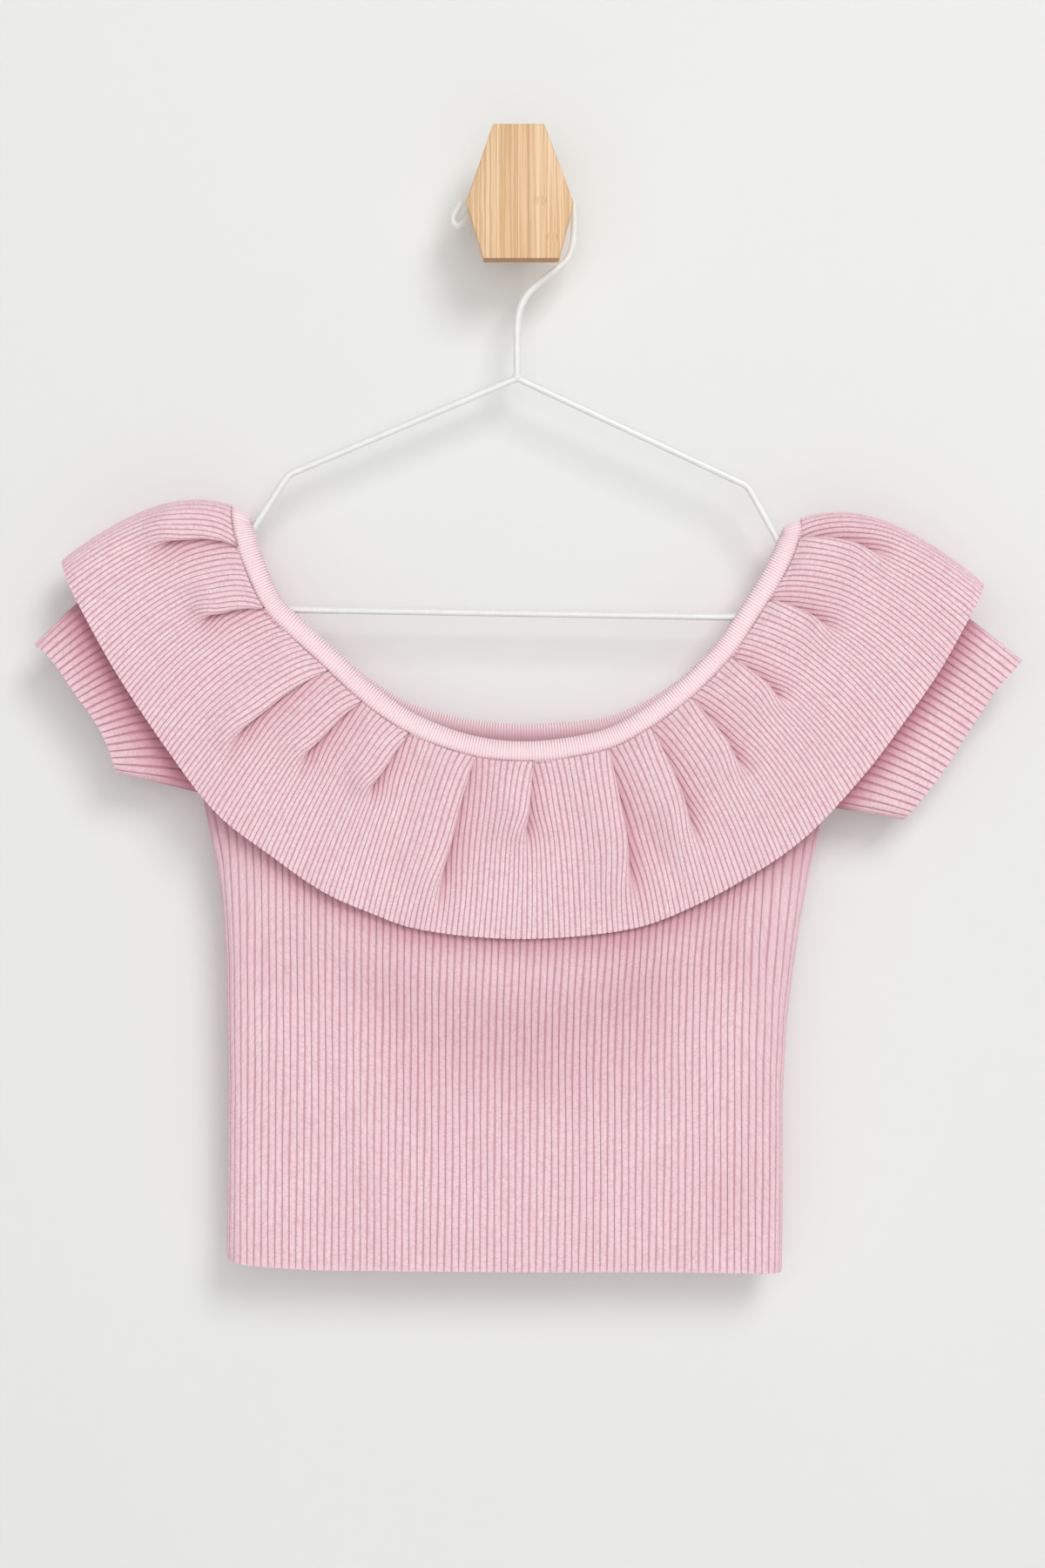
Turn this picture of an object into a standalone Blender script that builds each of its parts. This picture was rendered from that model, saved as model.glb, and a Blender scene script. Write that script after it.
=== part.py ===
"""Off-shoulder rib-knit top on a wire hanger, hung from a wooden wall hook.

Metres, +Z up. The origin is the middle of the hook stem's back face, on the wall plane y = 0.
The wall is on the +Y side and the garment faces -Y. Sizes below are in millimetres.
"""
from math import atan2, cos, pi, radians, sin

import bmesh
import bpy
import numpy as np

MM = 0.001

# Cloth
HANG_DEPTH = 30.0  # from the wall to the plane of the hanger wire
CLOTH = 1.7  # wall at a rib's crest
GROOVE = 0.55  # depth of the groove between two ribs
SEAM = 0.3  # gap between sewn pieces
SLACK_SHOULDER = 2.25  # half the space between front and back cloth at the shoulders
SLACK_NECK = 2.6  # more of it at the middle of the neck
SLACK_BODY = 5.4  # more of it in the body
SLACK_SLEEVE = 2.8  # more of it in a sleeve
SLACK_REACH = 75.0  # distance from the neck seam over which the space opens

# Rib pitches, counted on the front
BODY_RIBS = 77
SLEEVE_RIBS = 24
RUFFLE_RIBS = 233

# Neckband
BAND_WIDTH = 11.4
BAND_THICKNESS = 4.4
BAND_TIP_DROP = radians(24)  # how far the band leans down into the neck over the shoulder
BAND_TIP_REACH = 12.0
BAND_GAP = 0.2  # more room at the neck seam, where the band's facets cut its curve
BACK_NECK_RISE = 9.5  # the back neckline is higher at the middle
BACK_NECK_SPAN = 112.0

# Ruffle
RUFFLE_SPACE = 0.5  # clearance over the cloth beneath it at the seam
RUFFLE_ARCH_LEFT = 12.8  # rise of the ruffle's top fold over a straight line
RUFFLE_ARCH_RIGHT = 14.0
RUFFLE_ARCH_REACH = 62.0  # cloth along the edge that the arch dies away in
FLARE_FRONT = 1.2  # how far the free edge stands off at the middle
FLARE_SIDE = 6.5  # and over the sleeves
TUCK_SQUEEZE = 3.0  # width on the seam that a tuck's cloth is pressed into
BACK_EDGE_RISE = 3.0

# Hanger
WIRE = 3.8
CROOK_RADIUS = 29.9
BEND_RADIUS = 11.0
CORNER_REACH = 24.0  # how far each arm's bottom corner runs on along the bar

# Wall hook
STEM_RADIUS = 12.5
STEM_LENGTH = 38.0
PLATE_THICKNESS = 12.0
PLATE_EDGE = 0.5


def columns(names, rows):
    """Return a table as one array for each named column."""
    return dict(zip(names.split(), np.array(rows, dtype=float).T))


NECK_SEAM = columns("x z", [
    (-150.8, -164.2), (-149.8, -176.8), (-144.5, -195.3), (-134.1, -217.8), (-119.2, -233.6),
    (-101.7, -249.8), (-84.2, -265.9), (-60.3, -282.6), (-27.0, -295.2), (6.8, -298.4),
    (43.6, -292.9), (67.0, -281.7), (88.7, -265.9), (108.5, -246.2), (122.9, -225.9),
    (138.6, -200.2), (145.8, -183.2), (147.2, -171.0),
])
RUFFLE_EDGE = columns("x z", [
    (-238.1, -192.6), (-227.2, -216.5), (-207.0, -252.9), (-181.8, -290.7), (-156.2, -323.6),
    (-129.2, -344.7), (-102.2, -363.6), (-75.2, -375.8), (-52.6, -383.4), (-16.7, -387.9),
    (19.4, -387.9), (60.8, -382.5), (91.8, -370.4), (117.5, -356.4), (138.2, -342.9),
    (156.6, -326.7), (180.0, -300.6), (198.9, -275.4), (216.0, -250.7), (231.8, -222.8),
    (241.2, -204.8),
])
SIDES = columns("z left right", [
    (-562.5, -152.6, 136.3), (-520.0, -152.2, 136.8), (-470.0, -151.7, 136.8),
    (-435.0, -152.2, 138.6), (-405.0, -152.6, 142.2), (-381.0, -153.9, 145.8),
    (-363.0, -155.7, 149.0), (-345.0, -159.3, 153.0), (-325.0, -163.2, 157.8),
    (-315.0, -165.0, 160.0),
])
HEM = columns("x z", [
    (-152.6, -554.9), (-144.5, -557.6), (-134.1, -558.9), (-103.0, -560.7), (1.4, -561.6),
    (84.2, -561.6), (136.3, -562.5),
])
# Soft folds of the body: middle, lean across as it rises, half width and height, and how proud.
FOLDS = columns("x z lean wide tall rise", [
    (-2.0, -415.0, 0.0, 70.0, 46.0, -2.0), (-78.0, -495.0, -0.35, 26.0, 60.0, 1.1),
    (62.0, -480.0, 0.8, 30.0, 60.0, 1.1),
])
# Places along the body where a row of its wall lies, from the hem to the top edge.
BODY_ROWS = (0.0, 0.34, 0.62, 0.84, 1.0)

# One row for each sleeve, the wearer's right one first. The armhole runs from its top on the
# neck seam to the underarm.
SLEEVES = (
    {
        "name": "sleeve_left", "toward": -1, "neck_run": 54.0, "arch": 10.0,
        "underarm": (-165.4, -314.0), "neck_tip": (-151.2, -169.0),
        "cuff": columns("x z", [
            (-252.5, -236.7), (-243.9, -243.5), (-230.8, -261.9), (-219.6, -278.1),
            (-212.8, -291.6), (-209.2, -303.8),
        ]),
    },
    {
        "name": "sleeve_right", "toward": 1, "neck_run": 47.0, "arch": 7.0,
        "underarm": (160.4, -321.0), "neck_tip": (147.6, -175.5),
        "cuff": columns("x z", [
            (261.0, -244.8), (246.6, -261.0), (231.8, -283.5), (216.9, -306.4), (199.3, -327.6),
        ]),
    },
)
SLEEVE_TIP_RUN = 9.0  # along the neck seam, past the sleeve's folded top
SLEEVE_ROWS = (0.0, 0.36, 0.70, 1.0)

# One row for each tuck: its place along the seam, how far down the ruffle it reaches as a share
# of the ruffle's width, its height, and the side that its fold faces (+1 is to the right).
TUCKS = columns("seam reach height faces", [
    (19.5, 0.62, 2.4, 1), (54.1, 0.50, 2.6, 1), (99.7, 0.85, 2.6, 1), (123.0, 0.60, 2.2, 1),
    (152.2, 0.50, 2.2, 1), (187.9, 1.00, 3.0, 1), (221.0, 0.50, 2.2, 1), (260.0, 1.00, 3.0, -1),
    (285.3, 0.95, 2.8, -1), (311.4, 0.60, 2.2, -1), (340.1, 0.45, 2.2, -1), (378.8, 0.50, 2.6, -1),
    (412.9, 0.62, 2.4, -1),
])
RUFFLE_ROWS = (0.0, 0.26, 0.62, 1.0)

CROOK_CENTRE = (-1.4, -15.1)
NECK_BEND = columns("x z", [
    (28.5, -28.3), (24.6, -36.6), (14.9, -44.6), (5.4, -52.8), (0.6, -60.6), (-1.2, -69.0),
    (-1.4, -80.0), (-1.4, -96.3),
])
CURLED_TIP = columns("x z", [
    (-25.2, -6.0), (-26.4, -12.0), (-29.2, -16.8), (-32.2, -18.4), (-34.6, -16.6), (-34.4, -13.4),
    (-31.9, -9.0), (-30.4, -6.6),
])
FRAME = columns("x z", [
    (-1.4, -98.0), (-120.5, -148.3), (-165.4, -217.6), (156.7, -223.1), (118.7, -154.2),
])
PLATE = columns("x z", [
    (-13.8, 29.7), (12.5, 29.7), (27.7, -10.6), (20.1, -39.6), (-18.8, -39.6), (-27.7, -10.6),
])

COLOURS = {
    "rib_knit": ((0.80, 0.54, 0.59), 0.85, 0.0),
    "ruffle_knit": ((0.79, 0.53, 0.58), 0.85, 0.0),
    "band_knit": ((0.78, 0.52, 0.57), 0.88, 0.0),
    "white_lacquer": ((0.86, 0.86, 0.84), 0.35, 0.0),
    "bamboo": ((0.74, 0.50, 0.27), 0.5, 0.0),
}


class Line:
    """A line in the plane of the cloth, read by the distance run along it."""

    def __init__(self, points, run=None):
        self.points = np.asarray(points, dtype=float)
        if run is None:
            steps = np.hypot(*np.diff(self.points, axis=0).T)
            run = np.concatenate(([0.0], np.cumsum(steps)))
        self.run = run
        self.length = run[-1]

    def at(self, run):
        return np.column_stack([np.interp(run, self.run, self.points[:, axis]) for axis in (0, 1)])

    def shares(self, share):
        return self.at(np.asarray(share) * self.length)

    def part(self, start, end, count=80):
        return Line(self.at(np.linspace(start, end, count)))

    def tangents(self, run):
        ahead = self.at(run + 0.5) - self.at(run - 0.5)
        return ahead / np.linalg.norm(ahead, axis=1)[:, None]

    def moved(self, distance):
        """Shift to the right of the line's own direction."""
        along = np.gradient(self.points, axis=0)
        along /= np.linalg.norm(along, axis=1)[:, None]
        return Line(self.points + distance * np.column_stack((along[:, 1], -along[:, 0])))


def smooth(table, steps=24):
    """Run a curve through a table of points."""
    points = np.column_stack((table["x"], table["z"]))
    padded = np.vstack((2 * points[0] - points[1], points, 2 * points[-1] - points[-2]))
    share = np.linspace(0, 1, steps, endpoint=False)[:, None]
    curve = []
    for index in range(1, len(padded) - 2):
        before, start, end, after = padded[index - 1:index + 3]
        curve.append(0.5 * (2 * start + (end - before) * share
                            + (2 * before - 5 * start + 4 * end - after) * share ** 2
                            + (3 * start - before - 3 * end + after) * share ** 3))
    return Line(np.vstack(curve + [points[-1:]]))


def ease(share):
    share = np.clip(share, 0, 1)
    return share * share * (3 - 2 * share)


def back_rise(x):
    """How much higher the back neckline lies than the front one."""
    return BACK_NECK_RISE * np.clip(1 - (x / BACK_NECK_SPAN) ** 2, 0, 1) ** 2


def neck_seam(facing):
    """The seam under the neckband, at the front (facing -1) or at the back (facing 1)."""
    line = smooth(NECK_SEAM)
    if facing > 0:
        points = line.points.copy()
        points[:, 1] += back_rise(points[:, 0])
        line = Line(points)
    return line


def distance_to(line, points):
    gaps = points[:, None, :] - line.points[None, ::3, :]
    return np.sqrt((gaps ** 2).sum(axis=2)).min(axis=1)


def drape(points):
    """The body's soft hollow under the ruffle and the two ridges that run down beside it."""
    height = np.zeros(len(points))
    for x, z, lean, wide, tall, rise in zip(*FOLDS.values()):
        across = points[:, 0] - x - lean * (points[:, 1] - z)
        height += rise * np.exp(-(across / wide) ** 2 - ((points[:, 1] - z) / tall) ** 2)
    return height


def slack(points):
    """Half the space between the front and the back cloth, at places in the plane."""
    away = ease(distance_to(smooth(NECK_SEAM), points) / SLACK_REACH)
    middle = np.clip(1 - (points[:, 0] / 150) ** 2, 0, 1)
    sleeve = ease((np.abs(points[:, 0]) - 145) / 60)
    open_body = SLACK_BODY + (SLACK_SLEEVE - SLACK_BODY) * sleeve
    return SLACK_SHOULDER + SLACK_NECK * middle * (1 - away) + open_body * away + drape(points)


def turn_over(run, radius):
    """Wrap cloth over a fold. Returns its angle round the fold and what lies flat past it."""
    cloth = np.minimum(run, 2 * radius) * (pi / 2 + 1) / 2
    angle = np.minimum(cloth / radius, pi / 2)
    flat = np.maximum(cloth - radius * pi / 2, 0) + np.maximum(run - 2 * radius, 0)
    return angle, flat


def lay_row(line, run, depth, layer, facing):
    """Lay one row of cloth that folds over at both ends of a line in the plane.

    depth gives half the space inside at places in the plane, and layer is how far the points
    lie outside it, from 0 on the inside of the cloth to CLOTH on the crests of its ribs.
    """
    layer = np.broadcast_to(layer, run.shape)
    ends = depth(line.points[[0, -1]])
    from_end = np.minimum(run, line.length - run)
    first = run <= line.length / 2
    space = np.where(first, ends[0], ends[1])
    angle, flat = turn_over(from_end, space + CLOTH)
    inset = CLOTH - layer + (space + layer) * (1 - np.cos(angle)) + flat
    place = line.at(np.where(first, inset, line.length - inset))
    off = np.maximum((depth(place) + layer) * np.sin(angle), SEAM / 2)
    return np.column_stack((place[:, 0], facing * off - HANG_DEPTH, place[:, 1]))


def zip_borders(bm, outer, inner, outer_keys, inner_keys):
    """Join two borders of unlike counts with triangles, keeping their shares in step."""
    i = j = 0
    while i < len(outer) - 1 or j < len(inner) - 1:
        if j == len(inner) - 1 or (i < len(outer) - 1 and outer_keys[i + 1] <= inner_keys[j + 1]):
            bm.faces.new((outer[i], outer[i + 1], inner[j]))
            i += 1
        else:
            bm.faces.new((outer[i], inner[j + 1], inner[j]))
            j += 1


def add_sheet(bm, rows):
    grid = [[bm.verts.new(point * MM) for point in row] for row in rows]
    for low, high in zip(grid, grid[1:]):
        for a, b, c, d in zip(low, low[1:], high[1:], high):
            bm.faces.new((a, b, c, d))
    return grid


def add_wall(name, outer, inner, kept, material, tube=False):
    """Close ribbed outer rows and plain inner rows into one wall of cloth.

    kept holds the outer column that each inner column lies under. A tube's last column joins
    its first.
    """
    bm = bmesh.new()
    outside = add_sheet(bm, outer)
    inside = add_sheet(bm, inner)
    keys = np.arange(len(outside[0]))
    if tube:
        for rows in (outside, inside):
            for low, high in zip(rows, rows[1:]):
                bm.faces.new((low[-1], low[0], high[0], high[-1]))
    for end in (0, -1):
        if tube:
            zip_borders(bm, outside[end] + [outside[end][0]], inside[end] + [inside[end][0]],
                        np.append(keys, len(keys)), np.append(kept, len(keys)))
        else:
            zip_borders(bm, outside[end], inside[end], keys, kept)
            for low in range(len(outer) - 1):
                bm.faces.new((outside[low][end], outside[low + 1][end],
                              inside[low + 1][end], inside[low][end]))
    return finish_mesh(name, bm, material)


def finish_mesh(name, bm, material):
    bmesh.ops.recalc_face_normals(bm, faces=bm.faces)
    if bm.calc_volume(signed=True) < 0:
        bmesh.ops.reverse_faces(bm, faces=bm.faces)
    mesh = bpy.data.meshes.new(name)
    bm.to_mesh(mesh)
    bm.free()
    piece = bpy.data.objects.new(name, mesh)
    return finish(piece, material)


def finish(piece, material):
    bpy.data.collections["off_shoulder_top"].objects.link(piece)
    piece.data.materials.append(make_material(material))
    return piece


def make_material(name):
    found = bpy.data.materials.get(name)
    if found:
        return found
    colour, roughness, metallic = COLOURS[name]
    material = bpy.data.materials.new(name)
    material.use_nodes = True
    shader = material.node_tree.nodes["Principled BSDF"]
    shader.inputs["Base Color"].default_value = (*colour, 1)
    shader.inputs["Roughness"].default_value = roughness
    shader.inputs["Metallic"].default_value = metallic
    return material


def rib_layers(count):
    """Crests and grooves in turn across a wall's outer points."""
    return CLOTH - GROOVE * (np.arange(count) % 2)


def plain_columns(count, step, extra=()):
    """Columns that the plain inside keeps, closer together at the folded ends."""
    near = [0, 2, 4, 6, 8, 11]
    chosen = set(near) | {count - 1 - index for index in near} | set(range(14, count - 14, step))
    return np.array(sorted(chosen | set(extra)))


def build_body(name, facing):
    """One panel of the body, from the hem up to the armholes and the neck seam."""
    seam = neck_seam(facing).moved(SEAM)
    left, right = SLEEVES
    armhole_left = seam.at(left["neck_run"])[0]
    armhole_right = seam.at(seam.length - right["neck_run"])[0]
    neck = seam.part(left["neck_run"], seam.length - right["neck_run"])
    gap = np.array((SEAM, 0.0))
    top = np.vstack((left["underarm"] + gap, armhole_left + gap, neck.points[2:-2],
                     armhole_right - gap, right["underarm"] - gap))

    def at_side(z, side):
        return np.interp(z, SIDES["z"], SIDES[side])

    share = np.linspace(0, 1, 161)
    top_x = at_side(-315.0, "left") * (1 - share) + at_side(-315.0, "right") * share
    top_z = np.interp(top_x, top[:, 0], top[:, 1])
    hem_x = at_side(-560.0, "left") * (1 - share) + at_side(-560.0, "right") * share
    hem_z = np.interp(hem_x, HEM["x"], HEM["z"])
    count = 2 * BODY_RIBS + 1
    kept = plain_columns(count, 8)
    outer = []
    inner = []
    for height in BODY_ROWS:
        z = hem_z * (1 - height) + top_z * height
        x = at_side(z, "left") * (1 - share) + at_side(z, "right") * share
        line = Line(np.column_stack((x, z)), run=x - x[0])
        run = np.linspace(0, line.length, count)
        outer.append(lay_row(line, run, slack, rib_layers(count), facing))
        inner.append(lay_row(line, run[kept], slack, 0.0, facing))
    return add_wall(name, outer, inner, kept, "rib_knit")


def build_sleeve(sleeve):
    """A short sleeve: a flattened tube from its cuff to the armhole and the neck seam."""
    seam = neck_seam(-1).moved(SEAM)
    toward = sleeve["toward"]
    run = np.linspace(SLEEVE_TIP_RUN, sleeve["neck_run"], 24)
    neck = seam.at(run if toward < 0 else seam.length - run)
    sewn = Line(np.vstack((sleeve["neck_tip"], neck, sleeve["underarm"])))
    cuff = smooth(sleeve["cuff"])
    share = np.linspace(0, 1, 121)
    count = 2 * SLEEVE_RIBS + 1
    kept = plain_columns(count, 5)
    outer = []
    inner = []
    for place in SLEEVE_ROWS:
        points = cuff.shares(share) * (1 - place) + sewn.shares(share) * place
        points[:, 1] += sleeve["arch"] * 4 * place * (1 - place) * (1 - share) ** 1.5
        line = Line(points)
        run = np.linspace(0, line.length, count)
        rings = []
        for columns_kept, layer in ((slice(None), rib_layers(count)), (kept, 0.0)):
            front = lay_row(line, run[columns_kept], slack, layer, -1)
            back = lay_row(line, run[columns_kept], slack, layer, 1)
            front[[0, -1], 1] = -HANG_DEPTH
            rings.append(np.vstack((front, back[-2:0:-1])))
        outer.append(rings[0])
        inner.append(rings[1])
    both = np.concatenate((kept, 2 * (count - 1) - kept[-2:0:-1]))
    return add_wall(sleeve["name"], outer, inner, both, "rib_knit", tube=True)


def tuck_spans(seam_length, edge_length):
    """Where the tucks' cloth lies along the edge, and the places on the seam that it comes from."""
    take = (edge_length - seam_length) / len(TUCKS["seam"])
    cloth = [0.0]
    sewn = [0.0]
    for index, seam in enumerate(TUCKS["seam"]):
        middle = seam + take * (index + 0.5)
        cloth += [middle - take / 2, middle + take / 2]
        sewn += [seam - TUCK_SQUEEZE / 2, seam + TUCK_SQUEEZE / 2]
    return take, np.array(cloth + [edge_length]), np.array(sewn + [seam_length])


def tuck_height(cloth, place, take, seam_length, edge_length):
    """How far the tucks stand up: a slow rise to the fold, then a steep step down."""
    height = np.zeros_like(cloth)
    for index, seam in enumerate(TUCKS["seam"]):
        middle = seam + take * (index + 0.5)
        past = (cloth - middle) * TUCKS["faces"][index]
        rise = ease((past + take * 1.5) / (take * 1.3))
        fall = ease((past + take * 0.2) / (take * 0.7))
        fade = np.clip(1 - place / TUCKS["reach"][index], 0, 1)
        start = 0.65 + 0.35 * ease(place / 0.12)
        height += TUCKS["height"][index] * fade * start * rise * (1 - fall)
    return height


def build_ruffle(name, facing):
    """One half of the ruffle: tucked into the neck seam and full at its free edge."""
    seam = neck_seam(facing).moved(SEAM)
    edge = smooth(RUFFLE_EDGE)
    take, cloth_breaks, seam_breaks = tuck_spans(seam.length, edge.length)
    count = 2 * RUFFLE_RIBS + 1
    cloth = np.linspace(0, edge.length, count)
    sewn = np.interp(cloth, cloth_breaks, seam_breaks)
    lift = (facing > 0) * (BACK_EDGE_RISE + back_rise(edge.at(cloth)[:, 0]))
    kinks = np.searchsorted(cloth, cloth_breaks[1:-1])
    kept = plain_columns(count, 10, extra=kinks)
    arch = (RUFFLE_ARCH_LEFT * np.exp(-(cloth / RUFFLE_ARCH_REACH) ** 2)
            + RUFFLE_ARCH_RIGHT * np.exp(-((edge.length - cloth) / RUFFLE_ARCH_REACH) ** 2))
    across = np.abs(2 * cloth / edge.length - 1)
    flare = FLARE_FRONT + (FLARE_SIDE - FLARE_FRONT) * ease(across / 0.55)
    outer = []
    inner = []
    for place in RUFFLE_ROWS:
        free = edge.at(cloth)
        free[:, 1] += lift
        points = seam.at(sewn) * (1 - place) + free * place
        points[:, 1] += arch * 4 * place * (1 - place)
        line = Line(points)
        stand = flare * place ** 1.3 + tuck_height(cloth, place, take, seam.length, edge.length)

        def depth(spots, line=line, stand=stand):
            nearest = ((spots[:, None, 0] - line.points[None, :, 0]) ** 2
                       + (spots[:, None, 1] - line.points[None, :, 1]) ** 2).argmin(axis=1)
            return slack(spots) + CLOTH + RUFFLE_SPACE + stand[nearest]

        outer.append(lay_row(line, line.run, depth, rib_layers(count), facing))
        inner.append(lay_row(line, line.run[kept], depth, 0.0, facing))
    return add_wall(name, outer, inner, kept, "ruffle_knit")


def build_neckband(name, sections=46, sides=8):
    """The neckband: a flat tube that rings the neck and turns over both shoulders."""
    bm = bmesh.new()
    half_width = BAND_WIDTH / 2
    half_thick = BAND_THICKNESS / 2
    rings = []
    for facing in (-1, 1):
        seam = neck_seam(facing)
        bends = np.linspace(0, 1, sections)
        run = seam.length * (bends - 0.055 * np.sin(2 * pi * bends))
        if facing > 0:
            run = run[-2:0:-1]
        ends = slack(seam.points[[0, -1]]) + half_thick
        from_end = np.minimum(run, seam.length - run)
        first = run <= seam.length / 2
        space = np.where(first, ends[0], ends[1])
        angle, flat = turn_over(from_end, space)
        inset = half_thick + space * (1 - np.cos(angle)) + flat
        spot = np.where(first, inset, seam.length - inset)
        place = seam.at(spot)
        along = seam.tangents(np.clip(spot, 1.0, seam.length - 1.0))
        off = (slack(place) + half_thick) * np.sin(angle)
        drop = BAND_TIP_DROP * np.exp(-(from_end / BAND_TIP_REACH) ** 2)
        for index in range(len(run)):
            side = 1 if first[index] else -1
            lean = atan2(along[index, 0], -along[index, 1]) - side * drop[index]
            width = np.array((cos(lean), 0.0, sin(lean)))
            out = np.array((-side * along[index, 0] * cos(angle[index]),
                            facing * sin(angle[index]),
                            -side * along[index, 1] * cos(angle[index])))
            centre = np.array((place[index, 0], facing * off[index] - HANG_DEPTH, place[index, 1]))
            ring = []
            for step in range(sides):
                turn = 2 * pi * step / sides
                across = BAND_GAP + half_width * (1 + cos(turn))
                point = centre + width * across + out * half_thick * sin(turn)
                ring.append(bm.verts.new(point * MM))
            rings.append(ring)
    for low, high in zip(rings, rings[1:] + rings[:1]):
        for a, b, c, d in zip(low, low[1:] + low[:1], high[1:] + high[:1], high):
            bm.faces.new((a, b, c, d))
    return finish_mesh(name, bm, "band_knit")


def rounded(corners, radius, steps=6):
    """Round the inner corners of a bent wire's line."""
    path = [corners[0]]
    for before, corner, after in zip(corners, corners[1:], corners[2:]):
        back = (before - corner) / np.linalg.norm(before - corner)
        ahead = (after - corner) / np.linalg.norm(after - corner)
        half = np.arccos(np.clip(back @ ahead, -1, 1)) / 2
        reach = radius / np.tan(half)
        for share in np.linspace(0, 1, steps):
            a = corner + back * reach * (1 - share)
            b = corner + ahead * reach * share
            path.append(a * (1 - share) + b * share)
    return np.vstack(path + [corners[-1]])


def build_wire(name, points):
    """A round wire in the hanger's plane."""
    curve = bpy.data.curves.new(name, "CURVE")
    curve.dimensions = "3D"
    curve.bevel_depth = WIRE / 2 * MM
    curve.bevel_resolution = 2
    curve.use_fill_caps = True
    spline = curve.splines.new("POLY")
    spline.points.add(len(points) - 1)
    for spot, (x, z) in zip(spline.points, points):
        spot.co = (x * MM, -HANG_DEPTH * MM, z * MM, 1)
    return finish(bpy.data.objects.new(name, curve), "white_lacquer")


def build_hanger():
    centre = np.array(CROOK_CENTRE)
    turns = np.radians(np.linspace(146, -22, 17))
    crook = centre + CROOK_RADIUS * np.column_stack((np.cos(turns), np.sin(turns)))
    tip = smooth(CURLED_TIP, 2).points[::-1]
    neck = smooth(NECK_BEND, 2).points
    build_wire("hanger_hook", np.vstack((tip, crook, neck[1:])))

    top, left, left_corner, right_corner, right = np.column_stack((FRAME["x"], FRAME["z"]))
    along = (right_corner - left_corner) / np.linalg.norm(right_corner - left_corner)
    bar_start = left_corner + along * CORNER_REACH
    bar_end = right_corner - along * CORNER_REACH
    part = np.array((1.1, 0.4))
    gap = along * SEAM
    build_wire("hanger_arm_left",
               rounded(np.array((top - part, left, left_corner, bar_start)), BEND_RADIUS))
    build_wire("hanger_arm_right",
               rounded(np.array((top + part * (1, -1), right, right_corner, bar_end)), BEND_RADIUS))
    build_wire("hanger_bar", np.array((bar_start + gap, bar_end - gap)))


def build_hook():
    bpy.ops.mesh.primitive_cylinder_add(vertices=40, radius=STEM_RADIUS * MM, depth=STEM_LENGTH * MM,
                                        location=(0, -STEM_LENGTH / 2 * MM, 0),
                                        rotation=(pi / 2, 0, 0))
    stem = bpy.context.object
    stem.name = "hook_stem"
    bpy.context.collection.objects.unlink(stem)
    finish(stem, "bamboo")

    outline = bpy.data.curves.new("hook_plate", "CURVE")
    outline.dimensions = "2D"
    outline.fill_mode = "BOTH"
    outline.extrude = PLATE_THICKNESS / 2 * MM
    spline = outline.splines.new("POLY")
    spline.points.add(len(PLATE["x"]) - 1)
    spline.use_cyclic_u = True
    for spot, x, z in zip(spline.points, PLATE["x"], PLATE["z"]):
        spot.co = (x * MM, z * MM, 0, 1)
    plate = finish(bpy.data.objects.new("hook_plate", outline), "bamboo")
    plate.rotation_euler = (pi / 2, 0, 0)
    plate.location = (0, -(STEM_LENGTH + SEAM + PLATE_THICKNESS / 2) * MM, 0)
    weld = plate.modifiers.new("Weld", "WELD")
    weld.merge_threshold = 0.00005
    edge = plate.modifiers.new("Bevel", "BEVEL")
    edge.width = PLATE_EDGE * MM
    edge.segments = 2
    edge.limit_method = "ANGLE"


def main():
    for old in list(bpy.data.objects):
        bpy.data.objects.remove(old, do_unlink=True)
    collection = bpy.data.collections.new("off_shoulder_top")
    bpy.context.scene.collection.children.link(collection)
    for name, facing in (("body_front", -1), ("body_back", 1)):
        build_body(name, facing)
    for sleeve in SLEEVES:
        build_sleeve(sleeve)
    for name, facing in (("ruffle_front", -1), ("ruffle_back", 1)):
        build_ruffle(name, facing)
    build_neckband("neckband")
    build_hanger()
    build_hook()


main()
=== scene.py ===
import math

import bmesh
import bpy
import numpy as np
from mathutils import Matrix, Vector


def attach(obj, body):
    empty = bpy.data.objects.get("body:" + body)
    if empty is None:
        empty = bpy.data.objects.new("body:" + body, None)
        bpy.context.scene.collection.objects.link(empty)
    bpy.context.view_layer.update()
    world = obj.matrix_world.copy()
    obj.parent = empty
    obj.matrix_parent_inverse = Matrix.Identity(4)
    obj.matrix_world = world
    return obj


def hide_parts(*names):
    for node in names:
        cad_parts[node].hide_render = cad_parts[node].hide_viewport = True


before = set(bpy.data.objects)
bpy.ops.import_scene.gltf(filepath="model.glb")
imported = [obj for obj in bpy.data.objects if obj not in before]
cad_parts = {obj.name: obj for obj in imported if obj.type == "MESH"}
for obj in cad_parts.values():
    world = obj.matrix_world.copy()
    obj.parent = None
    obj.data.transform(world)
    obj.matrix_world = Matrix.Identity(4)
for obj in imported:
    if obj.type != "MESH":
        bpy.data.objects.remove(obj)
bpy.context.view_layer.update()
mm = 0.001
fullTurn = 2 * math.pi

# Metres, +Z up. The wall is the plane y = 0, and the top hangs in front of it, facing -Y.
# Tables and sizes are in millimetres, as places (x, z) seen from the front.


# Lines in the plane of the cloth

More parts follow.
